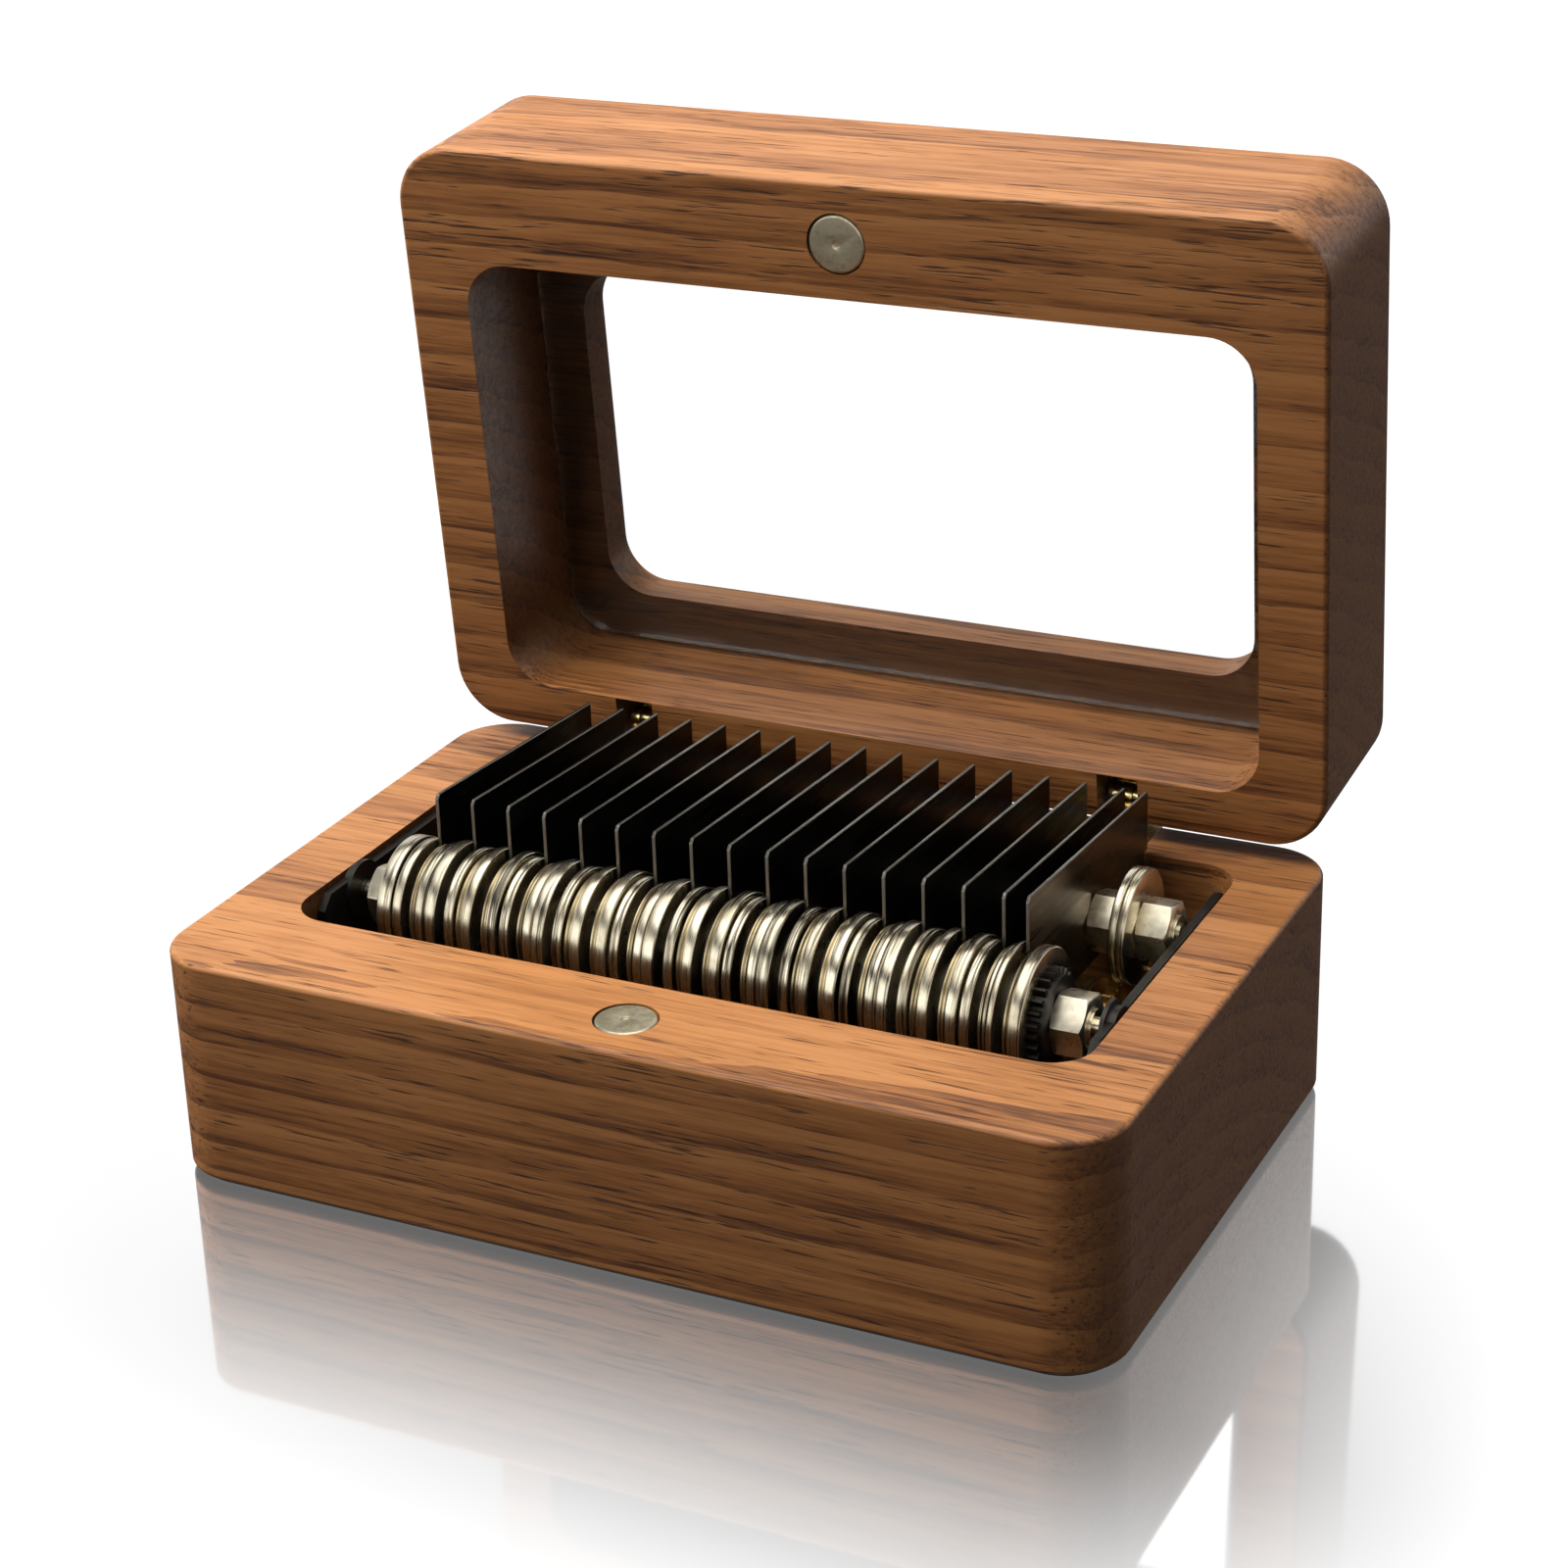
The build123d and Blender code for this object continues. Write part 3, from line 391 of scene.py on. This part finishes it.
def blackened_finish(name, tint):
    """Rolled steel with a thin black oxide: dark, with soft streaks along the rolling direction."""
    material, tree, shader = start_material(name)
    place = add(tree, "TexCoord").outputs["Object"]
    rolled = noise(tree, place, (500, 60, 1500), 3.0, 0.55)
    cloud = noise(tree, place, (110, 110, 110), 3.0, 0.5, (2, 3, 8))
    paler = tuple(1.7 * part for part in tint)
    skin = mix_colour(tree, between(tree, cloud, 0.4, 0.75, 0.0, 0.7), opaque(tint), opaque(paler))
    feed(tree, shader.inputs["Base Color"], skin)
    shader.inputs["Metallic"].default_value = 1.0
    feed(tree, shader.inputs["Roughness"], between(tree, rolled, 0.3, 0.7, 0.27, 0.42))
    feed(tree, shader.inputs["Normal"], bump(tree, rolled, 0.05, SCRATCH_RELIEF))
    return material


def felt_finish(name):
    """Black pressed felt with a short nap."""
    material, tree, shader = start_material(name)
    place = add(tree, "TexCoord").outputs["Object"]
    nap = noise(tree, place, (2600, 2600, 2600), 5.0, 0.7)
    clump = noise(tree, place, (320, 320, 320), 3.0, 0.5, (1, 1, 6))
    shade = mix_colour(tree, nap, (0.006, 0.006, 0.007, 1), (0.040, 0.038, 0.036, 1))
    shade = mix_colour(tree, between(tree, clump, 0.4, 0.7, 0.0, 0.4), shade, (0.012, 0.011, 0.011, 1))
    feed(tree, shader.inputs["Base Color"], shade)
    feed(tree, shader.inputs["Roughness"], between(tree, nap, 0.2, 0.8, 0.85, 1.0))
    feed(tree, shader.inputs["Normal"], bump(tree, nap, 0.8, NAP_RELIEF))
    shader.inputs["Sheen Weight"].default_value = 0.3
    shader.inputs["Sheen Roughness"].default_value = 0.6
    return material


def glass_finish(name):
    """Clear float glass, with a trace of dust in its gloss."""
    material, tree, shader = start_material(name)
    place = add(tree, "TexCoord").outputs["Object"]
    dust = noise(tree, place, (420, 420, 420), 5.0, 0.6)
    feed(tree, shader.inputs["Roughness"], between(tree, dust, 0.55, 0.80, 0.0, 0.05))
    tint = mix_colour(tree, dust, (0.97, 0.99, 0.98, 1), (1.0, 1.0, 1.0, 1))
    feed(tree, shader.inputs["Base Color"], tint)
    shader.inputs["Transmission Weight"].default_value = 1.0
    shader.inputs["IOR"].default_value = 1.45
    return material


def finish(kind):
    """The finish of that kind, made when it is first asked for, beside the frame's own colours."""
    name = kind + "_finish"
    if name in bpy.data.materials:
        return bpy.data.materials[name]
    wood = bpy.context.scene.music_box.wood
    metal = bpy.context.scene.music_box.metal
    makers = {
        "walnut_base": lambda: walnut_finish(name, wood, (0.02, 0.031, 0.085)),
        "walnut_lid": lambda: walnut_finish(name, wood, (0.31, 0.012, 0.052)),
        "felt": lambda: felt_finish(name),
        "clear_glass": lambda: glass_finish(name),
        # the rings' finishes carry painted shade: thin dark stripes round each ring
        "bright_steel": lambda: turned_finish(
            name, metal.steel, (0.30, 0.24, 0.14), 0.22, shade_line_share=0.85
        ),
        "warm_steel": lambda: turned_finish(
            name, metal.warm, (0.16, 0.12, 0.06), 0.28, shade_line_share=0.85
        ),
        # dark steel, also painted shade where it stands on the slot washers and the gear
        "dark_steel": lambda: turned_finish(name, metal.dark, (0.03, 0.027, 0.022), 0.42),
        "plain_steel": lambda: turned_finish(
            name, metal.steel, metal.dark, 0.30, (900, 900, 900), 0.35
        ),
        "satin_nickel": lambda: polished_finish(name, metal.nickel, (0.34, 0.30, 0.20), 0.36),
        "hinge_brass": lambda: polished_finish(name, metal.brass, (0.62, 0.40, 0.13), 0.12),
        "motor_brass": lambda: turned_finish(name, (0.62, 0.43, 0.17), (0.36, 0.22, 0.08), 0.30),
        "spring_steel": lambda: polished_finish(name, (0.16, 0.18, 0.24), (0.09, 0.09, 0.10), 0.24),
        "black_steel": lambda: blackened_finish(name, metal.plate),
        # outermost comb plate: a lighter, browner copy of the blackened steel, painted light where that
        # plate catches the light
        "bronzed_steel": lambda: blackened_finish(name, (0.115, 0.085, 0.052)),
        "plate_edge": lambda: turned_finish(
            name, (0.20, 0.19, 0.16), metal.dark, 0.34, (2000, 300, 300), 0.3
        ),
    }
    return makers[kind]()


# ---- mesh helpers ----
def clear_selection():
    """Leave edit mode and select nothing."""
    if bpy.context.mode != "OBJECT":
        bpy.ops.object.mode_set(mode="OBJECT")
    bpy.ops.object.select_all(action="DESELECT")


def make_active(piece):
    """Select one piece alone and make it the active one."""
    clear_selection()
    piece.select_set(True)
    bpy.context.view_layer.objects.active = piece


def pick(piece, kind, wanted):
    """In edit mode, select the verts, edges or faces that wanted() says yes to."""
    mesh = bmesh.from_edit_mesh(piece.data)
    for group in (mesh.verts, mesh.edges, mesh.faces):
        for element in group:
            element.select_set(False)
    mesh.select_flush_mode()
    for element in getattr(mesh, kind):
        if wanted(element):
            element.select_set(True)
    mesh.select_flush(True)
    bmesh.update_edit_mesh(piece.data)


def solids(node):
    """Lowest and highest corner of each solid of a CAD node, from left to right."""
    mesh = bmesh.new()
    mesh.from_mesh(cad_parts[node].data)
    bmesh.ops.remove_doubles(mesh, verts=mesh.verts, dist=MERGE_DISTANCE)
    unseen = set(mesh.verts)
    boxes = []
    while unseen:
        waiting = [unseen.pop()]
        points = []
        while waiting:
            vert = waiting.pop()
            points.append(vert.co.copy())
            for edge in vert.link_edges:
                other = edge.other_vert(vert)
                if other in unseen:
                    unseen.remove(other)
                    waiting.append(other)
        low = Vector([min(p[i] for p in points) for i in range(3)])
        high = Vector([max(p[i] for p in points) for i in range(3)])
        boxes.append((low, high))
    mesh.free()
    return sorted(boxes, key=lambda pair: pair[0].x)


def joined(name, parts):
    """Several meshes as one piece of that name."""
    clear_selection()
    for part in parts:
        part.select_set(True)
    bpy.context.view_layer.objects.active = parts[0]
    if len(parts) > 1:
        bpy.ops.object.join()
    parts[0].name = name
    parts[0].data.name = name
    return parts[0]


def smooth(piece):
    """Shade a piece smooth, with its sharp edges kept."""
    make_active(piece)
    bpy.ops.object.shade_smooth_by_angle(angle=SMOOTH_ANGLE)


def hand_over(piece, body, slot, nodes, *finishes):
    """Give a finished piece its finishes and its body, and hide the CAD nodes that it stands for."""
    piece.data.materials.clear()
    for name in finishes:
        piece.data.materials.append(finish(name))
    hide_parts(*nodes)
    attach(piece, body)


def dress(node, name):
    """A CAD node keeps its shape and gets a finish."""
    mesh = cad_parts[node].data
    mesh.materials.clear()
    mesh.materials.append(finish(name))


def softened(name, node, width, segments):
    """A closed copy of a CAD node with its sharp edges rounded by that width."""
    piece = bpy.data.objects.new(name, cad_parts[node].data.copy())
    bpy.context.scene.collection.objects.link(piece)
    make_active(piece)
    bpy.ops.mesh.customdata_custom_splitnormals_clear()
    bpy.ops.object.mode_set(mode="EDIT")
    bpy.ops.mesh.select_all(action="SELECT")
    bpy.ops.mesh.remove_doubles(threshold=MERGE_DISTANCE)
    bpy.ops.mesh.dissolve_limited(angle_limit=FLAT_ANGLE)
    bpy.ops.object.mode_set(mode="OBJECT")
    rounding = piece.modifiers.new("rounding", "BEVEL")
    rounding.width = width
    rounding.segments = segments
    rounding.limit_method = "ANGLE"
    rounding.angle_limit = ROUNDED_ANGLE
    bpy.ops.object.modifier_apply(modifier=rounding.name)
    smooth(piece)
    return piece


def near(a, b):
    """Whether two places along an axis are the same one."""
    return abs(a - b) < MERGE_DISTANCE


def turned_ring(name, low, high, hole, rounding, grooves, depth):
    """A ring turned about an axis along X: bored, with rounded rims and V grooves round it."""
    centre = (low + high) / 2
    radius = (high.z - low.z) / 2
    width = high.x - low.x
    clear_selection()
    bpy.ops.mesh.primitive_plane_add(
        size=1.0, location=(centre.x, centre.y + (radius + hole) / 2, centre.z)
    )
    piece = bpy.context.object
    piece.name = name
    piece.scale = (width, radius - hole, 1)
    bpy.ops.object.transform_apply(location=True, rotation=True, scale=True)
    bpy.ops.object.mode_set(mode="EDIT")
    bpy.ops.mesh.select_mode(type="VERT")
    rounding = min(rounding, 0.3 * width)

    def on_rim(vert):
        return near(vert.co.y, centre.y + radius)

    bpy.ops.mesh.select_all(action="SELECT")
    bpy.ops.mesh.delete(type="ONLY_FACE")
    if grooves:
        bpy.ops.mesh.select_mode(type="EDGE")
        pick(piece, "edges", lambda e: all(on_rim(v) for v in e.verts))
        stretches = GROOVE_STRETCHES * grooves
        bpy.ops.mesh.subdivide(number_cuts=stretches - 1)
        step = width / stretches
        bottoms = [low.x + width * (groove + 0.5) / grooves for groove in range(grooves)]
        bpy.ops.mesh.select_mode(type="VERT")
        pick(piece, "verts", lambda v: on_rim(v) and any(abs(v.co.x - x) < step / 3 for x in bottoms))
        bpy.ops.transform.translate(value=(0, -min(depth, step), 0))
    pick(piece, "verts", lambda v: on_rim(v) and any(near(v.co.x, x) for x in (low.x, high.x)))
    bpy.ops.mesh.bevel(offset=rounding, segments=3, profile=0.5, affect="VERTICES")
    bpy.ops.mesh.select_all(action="SELECT")
    steps = bpy.context.scene.music_box.metal.rim_steps
    bpy.ops.mesh.spin(steps=steps, angle=2 * math.pi, center=centre, axis=(1, 0, 0))
    bpy.ops.mesh.select_all(action="SELECT")
    bpy.ops.mesh.remove_doubles(threshold=2 * MERGE_DISTANCE)
    bpy.ops.mesh.normals_make_consistent(inside=False)
    bpy.ops.object.mode_set(mode="OBJECT")
    return piece


def ring_set(node, rod, body, kind, grooves_of):
    """The rings of one CAD node, turned to fit a rod; grooves_of gives the grooves for a width."""
    metal = bpy.context.scene.music_box.metal
    name = node + "_turned"
    rod_low, rod_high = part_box(rod)
    hole = (rod_high.y - rod_low.y) / 2
    parts = []
    for low, high in solids(node):
        grooves = grooves_of(high.x - low.x)
        parts.append(
            turned_ring(name, low, high, hole, metal.rim_rounding, grooves, metal.groove_depth)
        )
    piece = joined(name, parts)
    smooth(piece)
    hand_over(piece, body, kind, [node], kind)


# ---- operators ----
class MUSICBOX_OT_case(bpy.types.Operator):
    """Oiled walnut on the base and the lid, felt below and clear glass in the lid"""

    bl_idname = "musicbox.case"
    bl_label = "Wooden case"

    def execute(self, context):
        dress("base_block", "walnut_base")
        dress("lid_frame", "walnut_lid")
        dress("base_felt", "felt")
        dress("glass_pane", "clear_glass")
        return {"FINISHED"}


class MUSICBOX_OT_magnets(bpy.types.Operator):
    """The two closing magnets, with rounded rims and a small centre mark"""

    bl_idname = "musicbox.magnets"
    bl_label = "Magnets"

    def execute(self, context):
        for node, body in (("base_magnet", "base"), ("lid_magnet", "lid")):
            piece = softened(node + "_nickel", node, MACHINED_EDGE, 3)
            hand_over(piece, body, "satin_nickel", [node], "satin_nickel")
        return {"FINISHED"}


class MUSICBOX_OT_hinges(bpy.types.Operator):
    """Polished brass hinges with their pins and screws"""

    bl_idname = "musicbox.hinges"
    bl_label = "Hinges"

    def execute(self, context):
        for node, body, width in (
            ("hinge_base_leaves", "base", LEAF_EDGE),
            ("hinge_lid_leaves", "lid", LEAF_EDGE),
            ("hinge_pins", "base", PIN_EDGE),
        ):
            piece = softened(node + "_polished", node, width, 3)
            hand_over(piece, body, "hinge_brass", [node], "hinge_brass")
        dress("hinge_base_screws", "hinge_brass")
        dress("hinge_lid_screws", "hinge_brass")
        return {"FINISHED"}


class MUSICBOX_OT_comb(bpy.types.Operator):
    """Blackened comb plates with bright edges, on their rod with spacers, washers and nuts"""

    bl_idname = "musicbox.comb"
    bl_label = "Comb"

    def execute(self, context):
        plates = sorted(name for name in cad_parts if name.startswith("comb_plate_"))
        for node in plates:
            piece = softened(node + "_blackened", node, SHEET_EDGE, 1)
            # the outermost plate takes the lighter copy of the blackened steel: painted light
            face_finish = "bronzed_steel" if node == plates[-1] else "black_steel"
            hand_over(piece, "base", "black_steel", [node], face_finish, "plate_edge")
            for face in piece.data.polygons:
                face.material_index = 0 if abs(face.normal.x) > 0.9 else 1
        ring_set("comb_washers", "comb_rod", "base", "bright_steel", lambda width: 0)
        nuts = softened("comb_nuts_machined", "comb_nuts", MACHINED_EDGE, 2)
        hand_over(nuts, "base", "bright_steel", ["comb_nuts"], "plain_steel")
        dress("comb_rod", "bright_steel")
        dress("comb_spacers", "dark_steel")
        return {"FINISHED"}


class MUSICBOX_OT_disc_stack(bpy.types.Operator):
    """The turning stack: rings of three sizes, slot washers, pinned drums, rod, nuts and gear"""

    bl_idname = "musicbox.disc_stack"
    bl_label = "Disc stack"

    def execute(self, context):
        for node, kind, grooves_of in (
            ("stack_rings_large", "bright_steel", lambda width: 0),
            ("stack_rings_medium", "bright_steel", lambda width: 1 if width > WIDE_RING else 0),
            ("stack_rings_small", "warm_steel", lambda width: 1),
            ("stack_end_washers", "bright_steel", lambda width: 0),
        ):
            ring_set(node, "stack_rod", "disc_stack", kind, grooves_of)
        nuts = softened("stack_nuts_machined", "stack_nuts", MACHINED_EDGE, 2)
        hand_over(nuts, "disc_stack", "bright_steel", ["stack_nuts"], "plain_steel")
        dress("stack_rod", "bright_steel")
        # slot washers and gear made dark so the gaps between rings and the stack's end read black:
        # painted shade
        dress("stack_slot_washers", "dark_steel")
        dress("pin_drums", "dark_steel")
        dress("stack_gear", "dark_steel")
        return {"FINISHED"}


class MUSICBOX_OT_movement(bpy.types.Operator):
    """The frame of the movement, the spring motor and its train"""

    bl_idname = "musicbox.movement"
    bl_label = "Movement"

    def execute(self, context):
        for node in ("left_cheek", "right_cheek", "bedplate", "shaft_bushes"):
            dress(node, "dark_steel")
        for node in ("idler_gear", "second_wheel", "barrel_drum", "barrel_cover"):
            dress(node, "motor_brass")
        for node in ("frame_screws", "train_studs", "winding_arbor"):
            dress(node, "plain_steel")
        for node in ("mainspring", "clutch_spring"):
            dress(node, "spring_steel")
        dress("governor_fan", "dark_steel")
        return {"FINISHED"}


class MUSICBOX_OT_winding_key(bpy.types.Operator):
    """The winding key and its plate on the left side"""

    bl_idname = "musicbox.winding_key"
    bl_label = "Winding key"

    def execute(self, context):
        key = softened("winding_key_polished", "winding_key", KEY_EDGE, 3)
        hand_over(key, "winding", "hinge_brass", ["winding_key"], "hinge_brass")
        plate = softened("key_escutcheon_polished", "key_escutcheon", PLATE_EDGE, 2)
        hand_over(plate, "base", "hinge_brass", ["key_escutcheon"], "hinge_brass")
        return {"FINISHED"}


def softbox(name, spot, target, size, power, mirrored):
    """A square area light at spot that points at target; mirrored says if polished metal shows it."""
    clear_selection()
    bpy.ops.object.light_add(type="AREA", location=spot)
    lamp = bpy.context.object
    lamp.name = name
    lamp.rotation_euler = (Vector(target) - Vector(spot)).to_track_quat("-Z", "Y").to_euler()
    lamp.data.size = size
    lamp.data.energy = power
    lamp.visible_glossy = mirrored


def studio_world():
    """Plain white to the camera, a band and a panel for metal to mirror, and little other light."""
    world = bpy.data.worlds.new("studio")
    world.use_nodes = True
    tree = world.node_tree
    tree.nodes.clear()
    ray = add(tree, "LightPath").outputs
    up = add(tree, "SeparateXYZ", None, {0: add(tree, "TexCoord").outputs["Generated"]}).outputs[2]
    sky = between(tree, up, 0.48, 0.62, 1.0, 0.03)
    ground = between(tree, up, -0.02, 0.02, BELOW_HORIZON, 1.0)
    panel = between(tree, up, 0.70, 0.88, 0.0, OVERHEAD_PANEL)
    mirrored = math_node(tree, "ADD", math_node(tree, "MULTIPLY", sky, ground), panel)
    straight = math_node(tree, "MAXIMUM", ray["Is Camera Ray"], ray["Is Transmission Ray"])
    scattered = math_node(tree, "ADD", ray["Is Diffuse Ray"], ray["Diffuse Depth"], True)
    seen = add(
        tree, "Mix", {"data_type": "FLOAT"}, {0: straight, 2: mirrored, 3: SEEN_WHITE}
    ).outputs[0]
    strength = add(
        tree, "Mix", {"data_type": "FLOAT"}, {0: scattered, 2: seen, 3: SCATTERED_LIGHT}
    ).outputs[0]
    glow = add(tree, "Background", None, {"Color": (1, 1, 1, 1), "Strength": strength})
    out = add(tree, "OutputWorld")
    tree.links.new(glow.outputs[0], out.inputs["Surface"])
    bpy.context.scene.world = world


def floor_finish():
    """Gloss that mirrors the object close by and glows plain white further out."""
    material = bpy.data.materials.new("studio_floor")
    material.use_nodes = True
    tree = material.node_tree
    tree.nodes.clear()
    place = add(tree, "TexCoord").outputs["Object"]
    low, high = (Vector(corner) for corner in cad_box)
    case_low, case_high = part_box("base_block")
    case_half = (case_high - case_low) / 2
    middle = (low + high) / 2
    apart = add(tree, "Mapping", None, {"Vector": place, "Location": (-middle.x, 0, 0)}).outputs[0]
    parts = add(tree, "SeparateXYZ", None, {0: apart}).outputs
    squares = []
    for axis in (0, 1):
        past = math_node(tree, "SUBTRACT", math_node(tree, "ABSOLUTE", parts[axis]), case_half[axis])
        squares.append(math_node(tree, "POWER", math_node(tree, "MAXIMUM", past, 0.0), 2.0))
    reach = math_node(tree, "POWER", math_node(tree, "ADD", *squares), 0.5)
    whiteness = add(
        tree,
        "MapRange",
        {"interpolation_type": "SMOOTHERSTEP"},
        {0: reach, 1: MIRROR_START, 2: MIRROR_END, 3: 0.10, 4: 1.0},
    ).outputs[0]
    mirror = add(
        tree, "BsdfGlossy", None, {"Color": (0.98, 0.98, 0.98, 1), "Roughness": 0.05}
    ).outputs[0]
    white = add(tree, "Emission", None, {"Color": (1, 1, 1, 1), "Strength": FLOOR_GLOW}).outputs[0]
    blend = add(tree, "MixShader", None, {0: whiteness, 1: mirror, 2: white}).outputs[0]
    out = add(tree, "OutputMaterial")
    tree.links.new(blend, out.inputs["Surface"])
    return material


class MUSICBOX_OT_studio(bpy.types.Operator):
    """Pale floor, soft light and the camera"""

    bl_idname = "musicbox.studio"
    bl_label = "Studio"

    def execute(self, context):
        studio = context.scene.music_box.studio
        clear_selection()
        bpy.ops.mesh.primitive_plane_add(size=studio.floor_size, location=(0, 0, 0))
        floor = context.object
        floor.name = "studio_floor"
        floor.data.materials.append(floor_finish())
        floor.visible_diffuse = False
        floor.visible_glossy = False
        floor.visible_transmission = False
        studio_world()
        softbox("key_light", KEY_PLACE, KEY_TARGET, studio.key_size, studio.key_power, False)
        softbox("front_fill", FILL_PLACE, FILL_TARGET, FILL_SIZE, studio.fill_power, True)
        clear_selection()
        level = math.cos(EYE_ABOVE)
        back = Vector(
            (math.sin(EYE_AROUND) * level, -math.cos(EYE_AROUND) * level, math.sin(EYE_ABOVE))
        )
        right = Vector((0, 0, 1)).cross(back).normalized()
        top = back.cross(right)
        turned_right = math.cos(EYE_LEAN) * right + math.sin(EYE_LEAN) * top
        turned_top = -math.sin(EYE_LEAN) * right + math.cos(EYE_LEAN) * top
        axes = Matrix((turned_right, turned_top, back)).transposed().to_4x4()
        bpy.ops.object.camera_add(location=EYE)
        camera = context.object
        camera.name = "studio_camera"
        camera.matrix_world = Matrix.Translation(EYE) @ axes
        camera.data.lens = studio.lens
        camera.data.sensor_width = 36.0
        camera.data.clip_start = 0.01
        context.scene.camera = camera
        context.scene.view_settings.view_transform = "Standard"
        return {"FINISHED"}


PIECES = (
    MUSICBOX_OT_case,
    MUSICBOX_OT_magnets,
    MUSICBOX_OT_hinges,
    MUSICBOX_OT_comb,
    MUSICBOX_OT_disc_stack,
    MUSICBOX_OT_movement,
    MUSICBOX_OT_winding_key,
    MUSICBOX_OT_studio,
)


class MUSICBOX_PT_sidebar(bpy.types.Panel):
    """Buttons for each group of pieces and the settings they use"""

    bl_idname = "MUSICBOX_PT_sidebar"
    bl_label = "Wind-up music box"
    bl_space_type = "VIEW_3D"
    bl_region_type = "UI"
    bl_category = "Music box"

    def draw(self, context):
        for piece in PIECES:
            self.layout.operator(piece.bl_idname)
        settings = context.scene.music_box
        for group in (settings.wood, settings.metal, settings.studio):
            column = self.layout.box().column()
            for name in group.__annotations__:
                column.prop(group, name)


CLASSES = (MusicBoxWood, MusicBoxMetal, MusicBoxStudio, MusicBoxSettings, *PIECES, MUSICBOX_PT_sidebar)


def register():
    for item in CLASSES:
        bpy.utils.register_class(item)
    bpy.types.Scene.music_box = PointerProperty(type=MusicBoxSettings)


def unregister():
    del bpy.types.Scene.music_box
    for item in reversed(CLASSES):
        bpy.utils.unregister_class(item)


def main():
    """Build every group of pieces in order."""
    register()
    for piece in PIECES:
        group, name = piece.bl_idname.split(".")
        getattr(getattr(bpy.ops, group), name)()
    clear_selection()


if __name__ == "__main__":
    main()
